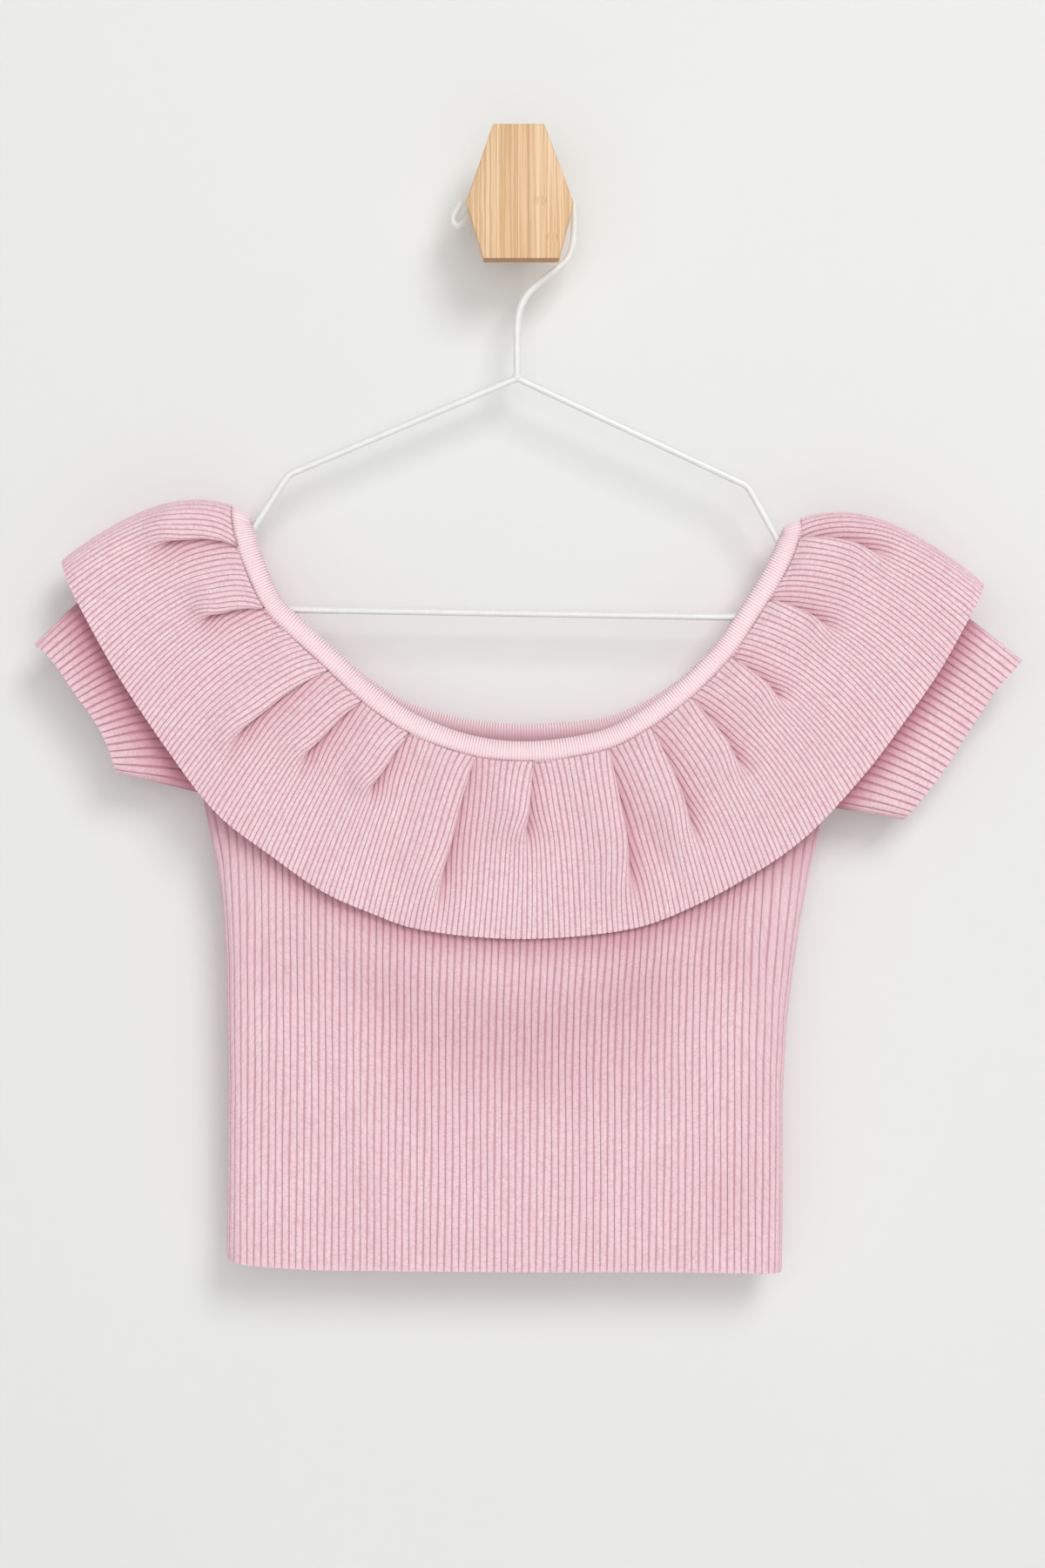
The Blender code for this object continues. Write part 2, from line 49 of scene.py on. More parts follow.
class ClothLine:
    # a line through places, read by the distance run along it
    def __init__(self, places, run=None):
        self.places = np.asarray(places, dtype=float)
        if run is None:
            run = np.concatenate(([0.0], np.cumsum(np.hypot(*np.diff(self.places, axis=0).T))))
        self.run = run
        self.length = run[-1]

    def at(self, run):
        return np.column_stack([np.interp(run, self.run, self.places[:, i]) for i in (0, 1)])

    def headings(self, run):
        ahead = self.at(run + 0.5) - self.at(run - 0.5)
        return ahead / np.linalg.norm(ahead, axis=1)[:, None]

    def moved(self, distance):  # to the right of its own direction
        along = np.gradient(self.places, axis=0)
        along /= np.linalg.norm(along, axis=1)[:, None]
        return ClothLine(self.places + distance * np.column_stack((along[:, 1], -along[:, 0])))


def smoothLine(table, steps=24):
    places = np.array(table, dtype=float)
    padded = np.vstack((2 * places[0] - places[1], places, 2 * places[-1] - places[-2]))
    t = np.linspace(0, 1, steps, endpoint=False)[:, None]
    curve = []
    for i in range(1, len(padded) - 2):
        a, b, c, d = padded[i - 1:i + 3]
        curve.append(0.5 * (2 * b + (c - a) * t + (2 * a - 5 * b + 4 * c - d) * t ** 2
                            + (3 * b - a - 3 * c + d) * t ** 3))
    return ClothLine(np.vstack(curve + [places[-1:]]))


def ease(share):
    share = np.clip(share, 0, 1)
    return share * share * (3 - 2 * share)


def meshFrom(bm, name):
    mesh = bpy.data.meshes.new(name)
    bm.to_mesh(mesh)
    bm.free()
    return mesh


def addObject(name, data):
    made = bpy.data.objects.new(name, data)
    bpy.context.scene.collection.objects.link(made)
    return made


# The cloth

cloth = {
    "hangDepth": 30.0,        # from the wall to the hanger wire
    "wall": 1.7,              # from the inside of the cloth to a rib's crest
    "thickness": 1.05,
    "shoulderSpace": 2.25,    # half the space between front and back at the shoulders
    "neckSpace": 2.6,         # more of it at the middle of the neck
    "neckReach": 150.0,       # how far from the middle that runs out
    "bodySpace": 5.4,
    "sleeveSpace": 2.8,
    "sleeveFrom": 145.0,      # how far from the middle the sleeves' space begins
    "sleeveOver": 60.0,       # and what it comes in over
    "opensOver": 75.0,        # distance below the neck that the space opens over
    "seamGap": 0.3,
    "backRise": 9.5,          # the back neckline over the front one, at the middle
    "backRiseReach": 112.0,
    "ribFlank": 0.18,         # how wide a rib's flank is, in ribs
    "ribRound": 2.2,
    "ribCrown": 0.16,         # how much lower a rib's shoulders are than its middle
    # how a knitted rib strays: how far, over what length, how that shifts from rib to rib
    "wavers": [(0.16, 11.0, 1.9), (0.14, 29.0, 0.37)],
    # the neck seam of the front, from the left shoulder to the right
    "neck": [
        (-150.8, -164.2), (-149.8, -176.8), (-144.5, -195.3), (-134.1, -217.8), (-119.2, -233.6),
        (-101.7, -249.8), (-84.2, -265.9), (-60.3, -282.6), (-27.0, -295.2), (6.8, -298.4),
        (43.6, -292.9), (67.0, -281.7), (88.7, -265.9), (108.5, -246.2), (122.9, -225.9),
        (138.6, -200.2), (145.8, -183.2), (147.2, -171.0),
    ],
    # the ruffle's free edge, from tip to tip
    "ruffleEdge": [
        (-238.1, -192.6), (-227.2, -216.5), (-207.0, -252.9), (-181.8, -290.7),
        (-156.2, -323.6), (-129.2, -344.7), (-102.2, -363.6), (-75.2, -375.8), (-52.6, -383.4),
        (-16.7, -387.9), (19.4, -387.9), (60.8, -382.5), (91.8, -370.4), (117.5, -356.4),
        (138.2, -342.9), (156.6, -326.7), (180.0, -300.6), (198.9, -275.4), (216.0, -250.7),
        (231.8, -222.8), (241.2, -204.8),
    ],
    # soft folds of the body: x, z, lean as it rises, bend, half width, half height, how proud
    "folds": [
        (-2.0, -411.0, 0.0, 0.0030, 78.0, 15.0, 4.6),
        (-6.0, -452.0, 0.0, 0.0034, 82.0, 24.0, -4.0),
        (66.0, -424.0, 1.2, 0.0, 17.0, 34.0, -2.0),
        (-74.0, -430.0, -1.0, 0.0, 17.0, 28.0, -1.8),
        (-77.0, -500.0, -0.27, 0.0, 11.0, 58.0, 2.6),
        (58.0, -500.0, 0.6, 0.0, 24.0, 40.0, 2.4),
        (112.0, -520.0, 0.2, 0.0, 12.0, 34.0, -1.2),
    ],
    # where the front of the body lies in soft shade: x, z, half width, half height, depth
    "hollows": [
        (-2.0, -443.0, 58.0, 31.0, 0.27),
        (60.0, -412.0, 26.0, 38.0, 0.24),
        (-66.0, -418.0, 26.0, 26.0, 0.15),
        (108.0, -396.0, 20.0, 18.0, 0.20),
        (-112.0, -398.0, 24.0, 20.0, 0.10),
        (110.0, -522.0, 14.0, 32.0, 0.07),
    ],
}
frontNeck = smoothLine(cloth["neck"])
ruffleEdge = smoothLine(cloth["ruffleEdge"])


def backRise(x):  # the back neckline lies higher at the middle
    return cloth["backRise"] * np.clip(1 - (x / cloth["backRiseReach"]) ** 2, 0, 1) ** 2


def neckSeam(facing):
    places = frontNeck.places.copy()
    if facing > 0:
        places[:, 1] += backRise(places[:, 0])
    return ClothLine(places)


def innerSpace(places):  # half the space between front and back cloth
    gaps = places[:, None, :] - frontNeck.places[None, ::3, :]
    away = ease(np.sqrt((gaps ** 2).sum(axis=2)).min(axis=1) / cloth["opensOver"])
    middle = np.clip(1 - (places[:, 0] / cloth["neckReach"]) ** 2, 0, 1)
    sleeve = ease((np.abs(places[:, 0]) - cloth["sleeveFrom"]) / cloth["sleeveOver"])
    opened = cloth["bodySpace"] + (cloth["sleeveSpace"] - cloth["bodySpace"]) * sleeve
    space = cloth["shoulderSpace"] + cloth["neckSpace"] * middle * (1 - away) + opened * away
    for x, z, lean, bend, wide, tall, rise in cloth["folds"]:
        across = places[:, 0] - x - lean * (places[:, 1] - z)
        down = places[:, 1] - z - bend * (places[:, 0] - x) ** 2
        space += rise * np.exp(-(across / wide) ** 2 - (down / tall) ** 2)
    return space


def foldOver(line, run, proud, wall=0.0):
    # how cloth turns over a line's ends: whether the first end is nearer, how far off that is,
    # the space there, the angle turned, and what lies flat past the fold
    first = run <= line.length / 2
    space = np.where(first, *(innerSpace(line.places[[0, -1]]) + proud))
    fromEnd = np.minimum(run, line.length - run)
    radius = space + wall
    wrapped = fromEnd * (1 + (math.pi / 2 - 1) * 2 * radius / line.length)
    angle = np.minimum(wrapped / radius, math.pi / 2)
    return first, fromEnd, space, angle, np.maximum(wrapped - radius * math.pi / 2, 0)


def shadeBesideRuffle(places, reach):  # painted shade: 1 on the cloth beneath the ruffle, fading past its edge
    edge = ruffleEdge.places
    beneath = places[:, 1] > np.interp(places[:, 0], *edge.T)
    gaps = places[:, None, :] - edge[None, ::4, :]
    away = np.sqrt((gaps ** 2).sum(axis=2).min(axis=1))
    return np.where(beneath, 1.0, np.exp(-(away / reach) ** 2))


def inHollow(places):  # how deep the front of the body lies in soft shade
    clear = np.ones(len(places))
    for x, z, wide, tall, depth in cloth["hollows"]:
        across, down = ((places - (x, z)) / (wide, tall)).T
        clear *= 1 - depth * np.exp(-across ** 2 - down ** 2)
    return 1 - clear


def layRow(line, run, layer, proud, facing):
    # layer is how far each point lies outside the cloth's inner side, proud how far it stands off
    first, _, space, angle, flat = foldOver(line, run, proud[[0, -1]], cloth["wall"])
    inset = cloth["wall"] - layer + (space + layer) * (1 - np.cos(angle)) + flat
    place = line.at(np.where(first, inset, line.length - inset))
    off = (innerSpace(place) + proud + layer) * np.sin(angle)
    return np.column_stack((place[:, 0], facing * off - cloth["hangDepth"], place[:, 1]))


def ribColumns(ribs, cuts):  # grid columns, counted in ribs, with a crest at each whole number
    return np.append(np.add.outer(np.arange(ribs), cuts).ravel(), ribs)


def ribShape(column):  # 1 on a crest, 0 in the groove between two
    fromGroove = np.abs(column % 1 - 0.5)
    flank = 1 - (1 - np.clip(fromGroove / cloth["ribFlank"], 0, 1)) ** cloth["ribRound"]
    return flank * (1 - cloth["ribCrown"] * (1 - 2 * fromGroove) ** 2)


def waver(column, along):  # how a knitted rib strays from a straight line
    rib = np.rint(column)
    return sum(far * np.sin(along / length + rib * shift) for far, length, shift in cloth["wavers"])


def rowHeights(sizes):  # rows lie closer together near the free edge
    near = sizes["edgeRows"]
    return np.concatenate((near[:-1], np.linspace(near[-1], 1, sizes["rows"] - len(near) + 1)))


def layGrid(name, finish, places, ribColumn, alongRib, paintedShade, facing=None, closed=False):
    # a grid shape whose vertices are moved onto the rows of the cloth
    places, alongRib, paintedShade = map(np.array, (places, alongRib, paintedShade))
    rows, columns = places.shape[:2]
    bm = bmesh.new()
    bmesh.ops.create_grid(bm, x_segments=columns - 1, y_segments=rows - 1, size=0.5)
    mesh = meshFrom(bm, name)
    spots = np.empty(len(mesh.vertices) * 3)
    mesh.vertices.foreach_get("co", spots)
    spots = spots.reshape(-1, 3)[:, :2]
    low, high = spots.min(axis=0), spots.max(axis=0)
    column, row = np.rint((spots - low) / (high - low) * (columns - 1, rows - 1)).astype(int).T
    mesh.vertices.foreach_set("co", (places[row, column] * mm).ravel())
    corners = np.empty(len(mesh.loops), dtype=int)
    mesh.loops.foreach_get("vertex_index", corners)
    ribs = np.column_stack((ribColumn[column], alongRib[row]))
    sheet = np.column_stack((column / (columns - 1), row / (rows - 1))) * 0.98 + 0.01
    # painted shade: how far the knit's colour is darkened at each vertex, kept in its own UV map
    deep = np.column_stack((paintedShade[row, column], np.zeros(len(row))))
    for title, values in (("ribs", ribs), ("paintedShade", deep), ("OFBake", sheet)):
        mesh.uv_layers.new(name=title).data.foreach_set("uv", values[corners].ravel())
    bm = bmesh.new()
    bm.from_mesh(mesh)
    if closed:
        bmesh.ops.remove_doubles(bm, verts=bm.verts, dist=1e-6)
        bmesh.ops.recalc_face_normals(bm, faces=bm.faces)
        if bm.calc_volume(signed=True) < 0:
            bmesh.ops.reverse_faces(bm, faces=bm.faces)
    elif sum(face.normal.y * face.calc_area() for face in bm.faces) * facing < 0:
        bmesh.ops.reverse_faces(bm, faces=bm.faces)
    for face in bm.faces:
        face.smooth = True
    for edge in bm.edges:
        edge.smooth = not edge.is_boundary
    bm.to_mesh(mesh)
    bm.free()
    mesh.materials.append(finish)
    return addObject(name, mesh)


def giveThickness(piece):
    solid = piece.modifiers.new("cloth", "SOLIDIFY")
    solid.thickness = cloth["thickness"] * mm
    solid.offset = -1


# Materials

class Strand:
    # a socket in a material, so that its maths reads as Python
    def __init__(self, socket):
        self.socket = socket

    def join(self, operation, *others, swap=False):
        node = self.socket.id_data.nodes.new("ShaderNodeMath")
        node.operation = operation
        values = [*others, self] if swap else [self, *others]
        for entry, value in zip(node.inputs, values):
            plug(entry, value)
        return Strand(node.outputs[0])

    def __add__(self, other): return self.join("ADD", other)
    def __radd__(self, other): return self.join("ADD", other, swap=True)
    def __sub__(self, other): return self.join("SUBTRACT", other)
    def __rsub__(self, other): return self.join("SUBTRACT", other, swap=True)
    def __mul__(self, other): return self.join("MULTIPLY", other)
    def __rmul__(self, other): return self.join("MULTIPLY", other, swap=True)
    def __truediv__(self, other): return self.join("DIVIDE", other)
    def __pow__(self, other): return self.join("POWER", other)
    def __abs__(self): return self.join("ABSOLUTE")
    def fraction(self): return self.join("FRACT")
    def floor(self): return self.join("FLOOR")
    def sine(self): return self.join("SINE")
    def most(self, other): return self.join("MAXIMUM", other)


def plug(entry, value):
    if isinstance(value, Strand):
        entry.id_data.links.new(value.socket, entry)
    else:
        entry.default_value = value


class Finish:
    # one material, with its shader's constant values
    def __init__(self, name, **constants):
        self.material = bpy.data.materials.new(name)
        self.material.use_nodes = True
        self.tree = self.material.node_tree
        self.shader = self.tree.nodes["Principled BSDF"]
        for key, value in constants.items():
            self.shader.inputs[key.replace("_", " ")].default_value = value

    def node(self, kind, settings=None, sockets=None, out=0):
        made = self.tree.nodes.new("ShaderNode" + kind)
        for key, value in (settings or {}).items():
            if key == "stops":
                for stop, (place, colour) in zip(made.color_ramp.elements, value):
                    stop.position, stop.color = place, colour
            else:
                setattr(made, key, value)
        for key, value in (sockets or {}).items():
            plug(made.inputs[key], value)
        return Strand(made.outputs[out])

    def blend(self, factor, first, second, kind="MIX"):
        return self.node("Mix", {"data_type": "RGBA", "blend_type": kind},
                         {0: factor, 6: first, 7: second}, out=2)

    def soften(self, value, low, high, to=(0.0, 1.0)):
        return self.node("MapRange", {"interpolation_type": "SMOOTHSTEP"},
                         {"Value": value, "From Min": low, "From Max": high,
                          "To Min": to[0], "To Max": to[1]})

    def noise(self, place, scale, detail=2.0, roughness=0.5):
        return self.node("TexNoise", None, {"Vector": place, "Scale": scale, "Detail": detail,
                                            "Roughness": roughness})

    def part(self, vector, axis):  # 0, 1 or 2 for X, Y or Z
        return self.node("SeparateXYZ", None, {0: vector}, out=axis)

    def stretched(self, place, scale):
        return self.node("Mapping", None, {"Vector": place, "Scale": scale})

    def finish(self, colour, height=None, strength=0.5, depth=0.3, **varying):
        plug(self.shader.inputs["Base Color"], colour)
        for key, value in varying.items():
            plug(self.shader.inputs[key.replace("_", " ")], value)
        if height is not None:
            plug(self.shader.inputs["Normal"],
                 self.node("Bump", None, {"Strength": strength, "Distance": depth * mm,
                                          "Height": height}))
        return self.material


knit = {
    "crest": (0.965, 0.755, 0.800, 1),     # of the body's and sleeves' ribs
    # a darker tone of the yarn for its flecks, mottling and stitches; also painted shade where the
    # neckband sinks in at its seam
    "shade": (0.760, 0.460, 0.525, 1),
    # painted shade in the grooves between ribs
    "groove": (0.560, 0.235, 0.300, 1),
    # painted shade: the colour the knit is darkened towards under the ruffle, beside its tucks, in
    # the body's hollows and inside the back of the neckband
    "deep": (0.550, 0.205, 0.280, 1),
    "ruffleCrest": (0.975, 0.790, 0.830, 1),
    # lighter than the body's crest: partly the band's own tone, partly painted light, as the band
    # faces up to the lamps
    "bandCrest": (0.972, 0.825, 0.852, 1),
    "sheen": {"Sheen_Weight": 0.2, "Sheen_Roughness": 0.45, "Sheen_Tint": (1.0, 0.86, 0.89, 1),
              "Specular_IOR_Level": 0.15},
    "heather": 0.34,      # how much the yarn's own flecks show
    "melange": 0.42,      # and its darker and lighter lengths
    "cloud": 0.16,        # broad unevenness of the dye
    "speck": 0.58,        # single darker stitches
    "stitchShade": 0.14,
    # how far painted shade darkens the knit
    "deepShade": 0.95,
    "grooveWidth": 0.14,  # in ribs
    "walesInRib": 2.0,    # columns of stitches in one rib
    "stitch": 0.95,       # height of one stitch
}


def ribKnit(name, crest, grooveShade=0.62):
    made = Finish(name, Roughness=0.9, **knit["sheen"])
    ribs = made.node("UVMap", {"uv_map": "ribs"})
    across, along = made.part(ribs, 0), made.part(ribs, 1)
    place = made.node("TexCoord", out=3)
    wander = made.noise(place, 900.0) * 0.10 - 0.05
    fromGroove = abs((across + wander).fraction() - 0.5)
    paintedShade = made.part(made.node("UVMap", {"uv_map": "paintedShade"}), 0)
    groove = 1.0 - made.soften(fromGroove, 0.02, paintedShade * 0.16 + knit["grooveWidth"])
    wale = abs((across * knit["walesInRib"]).fraction() - 0.5)
    course = along / knit["stitch"] + wale * 1.1   # rows of stitches, each a shallow V
    stitch = (course * fullTurn).sine() * 0.5 + 0.5
    fleck = made.noise(place, 2400.0, 3.0, 0.65)
    melange = made.noise(place, 950.0, 4.0, 0.75)
    cell = made.node("CombineXYZ", None, {"X": (across * knit["walesInRib"]).floor(),
                                          "Y": course.floor()})
    speck = made.node("TexWhiteNoise", {"noise_dimensions": "2D"}, {"Vector": cell}, out=0)
    cloud = made.noise(place, 26.0, 2.0)
    fuzz = made.noise(place, 5200.0, 2.0, 0.7)
    tone = crest
    for pattern, low, high, amount in ((fleck, 0.30, 0.72, knit["heather"]),
                                       (melange, 0.40, 0.66, knit["melange"]),
                                       (cloud, 0.35, 0.70, knit["cloud"])):
        tone = made.blend(made.soften(pattern, low, high) * amount, tone, knit["shade"])
    tone = made.blend(speck * speck * knit["speck"], tone, knit["shade"])
    tone = made.blend((1.0 - stitch) * knit["stitchShade"], tone, knit["shade"])
    # painted shade, as far as the shade map says
    tone = made.blend(paintedShade * knit["deepShade"], tone, knit["deep"])
    # painted shade in the grooves, deeper and wider where painted shade lies
    tone = made.blend(groove * (paintedShade * 0.15 + grooveShade), tone, knit["groove"])
    height = stitch * 0.35 + (1.0 - wale * 2.0) * 0.20 + fuzz * 0.35 + melange * 0.8 - groove * 0.9
    return made.finish(tone, height, strength=0.7, depth=0.30)


band = {
    "width": 11.4,
    "thickness": 4.4,
    "ribs": 276,          # on the front, and as many on the back
    "cuts": (0.0, 0.30, 0.50, 0.70),
    "sides": 14,
    "groove": 0.45,
    "tipDrop": math.radians(24),
    "tipReach": 12.0,
    "gap": 0.2,
    "girth": 26.4,        # once round its section
    "square": 0.65,       # how flat its front and back are, 1 for a round section
    "innerShade": 0.62,   # painted shade of the back's inner side
    "stitch": 0.9,
}


def bandKnit(name):
    made = Finish(name, Roughness=0.92, **knit["sheen"])
    ribs = made.node("UVMap", {"uv_map": "ribs"})
    across, along = made.part(ribs, 0), made.part(ribs, 1)
    place = made.node("TexCoord", out=3)
    fromGroove = abs(across.fraction() - 0.5)
    groove = 1.0 - made.soften(fromGroove, 0.03, 0.24)
    # how far round the band: its ribs show at the free edge, and it sinks in at the seam, where
    # painted shade darkens it
    seamShade = 1.0 - made.soften(abs(along - band["girth"] / 2), 1.0, 5.5)
    toEdge = made.soften(abs(along - band["girth"] / 2), 6.5, 11.0)
    stitch = (along / band["stitch"] * fullTurn).sine() * 0.5 + 0.5
    fleck = made.noise(place, 2600.0, 3.0, 0.65)
    melange = made.noise(place, 900.0, 3.0, 0.7)
    cloud = made.noise(place, 30.0, 2.0)
    tone = knit["bandCrest"]
    for pattern, low, high, amount in ((fleck, 0.30, 0.72, 0.18), (melange, 0.40, 0.68, 0.16),
                                       (cloud, 0.35, 0.70, 0.08)):
        tone = made.blend(made.soften(pattern, low, high) * amount, tone, knit["shade"])
    # painted shade where the band sinks in at its seam
    tone = made.blend(seamShade * 0.50, tone, knit["shade"])
    paintedShade = made.part(made.node("UVMap", {"uv_map": "paintedShade"}), 0)
    # painted shade inside the back of the band
    tone = made.blend(paintedShade * 0.75, tone, knit["deep"])
    # painted shade in the grooves, stronger at the seam and at the free edge
    tone = made.blend(groove * (0.26 + seamShade * 0.30 + toEdge * 0.42), tone, knit["groove"])
    height = stitch * 0.3 + fleck * 0.4 - groove * (0.5 + toEdge * 0.6)
    return made.finish(tone, height, strength=0.6, depth=0.28)


yarn = {"dark": (0.50, 0.235, 0.295, 1), "light": (0.66, 0.390, 0.450, 1)}


def seamYarn(name):
    made = Finish(name, Roughness=0.85, Sheen_Weight=0.2, Specular_IOR_Level=0.2)
    place = made.node("TexCoord", out=3)
    fleck = made.noise(place, 1800.0, 2.0)
    tone = made.blend(made.soften(fleck, 0.3, 0.7), yarn["dark"], yarn["light"])
    return made.finish(tone, fleck, strength=0.4, depth=0.15)


lacquer = {"dull": (0.78, 0.78, 0.765, 1), "bright": (0.82, 0.82, 0.81, 1)}


def whiteLacquer(name):
    made = Finish(name, Specular_IOR_Level=0.5, Coat_Roughness=0.12)
    place = made.node("TexCoord", out=3)
    ripple = made.noise(place, 160.0, 3.0)
    dust = made.noise(place, 1400.0, 2.0)
    tone = made.blend(made.soften(ripple, 0.35, 0.7), lacquer["dull"], lacquer["bright"])
    rough = made.soften(dust, 0.3, 0.7, to=(0.24, 0.36))
    return made.finish(tone, ripple, strength=0.12, depth=0.2, Roughness=rough, Coat_Weight=0.35)


bamboo = {
    "strip": 8.6,         # width of one lamella
    "light": (0.830, 0.590, 0.360, 1),
    "dark": (0.600, 0.350, 0.165, 1),
    "pore": (0.430, 0.215, 0.090, 1),
    "gleam": (0.900, 0.700, 0.480, 1),
    # for faces that look down: partly the end grain's own colour, partly painted shade
    "shadedUnderside": (0.430, 0.190, 0.080, 1),
    "nodes": [(10.4, -9.9), (17.4, -28.4)],   # where the cane's joints show
    "nodeSize": (4.6, 3.2),
}


def bambooLaminate(name):
    made = Finish(name, Specular_IOR_Level=0.3, Coat_Roughness=0.3)
    place = made.node("TexCoord", out=3)
    x, z = made.part(place, 0) / mm, made.part(place, 2) / mm
    strips = (x + (x * 0.47).sine() * 2.2 + 2.4) / bamboo["strip"] + 20.0
    lamella = strips.floor()
    tint = made.node("TexWhiteNoise", {"noise_dimensions": "1D"}, {"W": lamella + 4.3}, out=0)
    near = 0.0
    wide, tall = bamboo["nodeSize"]
    for nodeX, nodeZ in bamboo["nodes"]:
        off = ((x - nodeX) / wide) ** 2.0 + ((z - nodeZ) / tall) ** 2.0
        near = (1.0 - made.soften(off, 0.0, 1.0)) + near
    wander = made.noise(place, 55.0, 2.0) - 0.5
    grainX = x + near * wander * 9.0 + near * 1.3 + wander * 1.2
    shift = made.node("CombineXYZ", None, {"X": grainX, "Y": tint * 37.0, "Z": z})
    streaks = made.noise(made.stretched(shift, (0.75, 1.0, 0.010)), 1.0, 3.0, 0.6)
    grain = made.noise(made.stretched(shift, (2.6, 1.0, 0.035)), 1.0, 3.0, 0.6)
    pores = made.noise(made.stretched(shift, (5.2, 1.0, 0.16)), 1.0, 2.0, 0.6)
    tone = made.blend(made.soften(streaks, 0.42, 0.60) * 0.70, bamboo["light"], bamboo["dark"])
    tone = made.blend(made.soften(grain, 0.36, 0.70) * 0.34, tone, bamboo["dark"])
    tone = made.blend(made.soften(tint, 0.30, 0.80) * 0.62, tone, bamboo["dark"])
    tone = made.blend(made.soften(pores, 0.60, 0.76) * 0.26, tone, bamboo["pore"])
    joint = made.soften(abs(strips.fraction() - 0.5), 0.43, 0.49)
    tone = made.blend(joint * made.soften(tint, 0.1, 0.6) * 0.55, tone, bamboo["pore"])
    gleam = 1.0 - made.soften(abs(strips.fraction() - 0.16), 0.03, 0.10)
    tone = made.blend(gleam * 0.55, tone, bamboo["gleam"])
    tone = made.blend(near * made.soften(pores, 0.46, 0.60) * 0.42, tone, bamboo["pore"])
    # faces that look down are darker and redder: partly the end grain, partly painted shade
    under = made.part(made.node("NewGeometry", out=1), 2)
    tone = made.blend(made.soften(under, -0.55, -0.85) * 0.95, tone, bamboo["shadedUnderside"])
    rough = made.soften(grain, 0.3, 0.7, to=(0.42, 0.58))
    return made.finish(tone, grain * 0.6 + pores * 0.4, strength=0.25, depth=0.12,
                       Roughness=rough, Coat_Weight=0.12)


bodyFinish = ribKnit("bodyRibKnit", knit["crest"])
sleeveFinish = ribKnit("sleeveRibKnit", knit["crest"], grooveShade=0.74)
ruffleFinish = ribKnit("ruffleRibKnit", knit["ruffleCrest"], grooveShade=0.60)
bandFinish = bandKnit("bandRibKnit")
yarnFinish = seamYarn("seamYarn")
lacquerFinish = whiteLacquer("whiteLacquer")
bambooFinish = bambooLaminate("bambooLaminate")
print("materials")


# Body

body = {
    "ribs": 82,
    "cuts": (0.0, 0.31, 0.42, 0.50, 0.58, 0.69),   # columns in one rib
    "rows": 60,
    "edgeRows": (0.0, 0.003, 0.007, 0.011, 0.017, 0.026),
    "groove": 0.70,
    "welt": 1.4,          # the plain edge, past which the grooves come in over as much again
    "weltDip": 0.35,
    "ribRun": 300.0,      # how far a rib is counted as running up from the hem
    "sideFold": 16.0,     # how near to the side folds the ribs run straight
    "ripple": 0.35,       # faint unevenness
    "topLevel": -315.0,
    "hemLevel": -560.0,
    "shade": 0.66,        # painted shade under the ruffle
    "shadeReach": 9.5,    # how far that runs out past its edge
    "sides": [            # z, left, right
        (-562.5, -152.6, 136.3), (-520.0, -152.2, 136.8), (-470.0, -151.7, 136.8),
        (-435.0, -152.2, 138.6), (-405.0, -152.6, 142.2), (-381.0, -153.9, 145.8),
        (-363.0, -155.7, 149.0), (-345.0, -159.3, 153.0), (-325.0, -163.2, 157.8),
        (-315.0, -165.0, 160.0),
    ],
    "hem": [
        (-152.6, -554.9), (-144.5, -557.6), (-134.1, -558.9), (-103.0, -560.7), (1.4, -561.6),
        (84.2, -561.6), (136.3, -562.5),
    ],
    "underarms": ((-165.4, -314.0), (160.4, -321.0)),
    "neckRuns": (54.0, 47.0),   # from each end of the neck seam to the armhole's top
}


def makeBody(name, node, facing):
    seam = neckSeam(facing).moved(cloth["seamGap"])
    first, last = body["neckRuns"]
    gap = np.array((cloth["seamGap"], 0.0))
    neck = seam.at(np.linspace(first, seam.length - last, 80))
    top = np.vstack((body["underarms"][0] + gap, neck[:1] + gap, neck[2:-2], neck[-1:] - gap,
                     body["underarms"][1] - gap))
    levels, left, right = np.array(body["sides"]).T
    share = np.linspace(0, 1, 161)

    def fromSideToSide(level):
        return (np.interp(level, levels, left) * (1 - share)
                + np.interp(level, levels, right) * share)

    topZ = np.interp(fromSideToSide(body["topLevel"]), *top.T)
    hemZ = np.interp(fromSideToSide(body["hemLevel"]), *np.array(body["hem"]).T)
    column = ribColumns(body["ribs"], body["cuts"])
    ribs = ribShape(column)
    places, alongRib, paintedShade = [], [], []
    for height in rowHeights(body):
        rowZ = hemZ * (1 - height) + topZ * height
        rowX = fromSideToSide(rowZ)
        line = ClothLine(np.column_stack((rowX, rowZ)), run=rowX - rowX[0])
        above = height * body["ribRun"]
        run = column / body["ribs"] * line.length
        inside = ease(np.minimum(run, line.length - run) / body["sideFold"])
        run = run + waver(column, above) * inside
        stop = ease(above / body["welt"] - 1)
        layer = cloth["wall"] - body["groove"] * (1 - ribs) * stop - body["weltDip"] * (1 - stop)
        x, z = line.at(run).T
        ripple = body["ripple"] * np.sin(x / 19 + z / 55) * np.sin(z / 33)
        row = layRow(line, run, layer, ripple * inside, facing)
        places.append(row)
        alongRib.append(above)
        # painted shade beneath and beside the ruffle, and on the front in the body's soft hollows
        shade = body["shade"] * shadeBesideRuffle(row[:, ::2], body["shadeReach"])
        if facing < 0:
            shade += (1 - shade) * inHollow(row[:, ::2])
        paintedShade.append(shade)
    piece = layGrid(name, bodyFinish, places, column, alongRib, paintedShade, facing)
    giveThickness(piece)
    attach(piece, "root")
    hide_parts(node)
    return piece


bodyFront = makeBody("bodyFront", "body_front", -1)
bodyBack = makeBody("bodyBack", "body_back", 1)
print("body")


# Sleeves

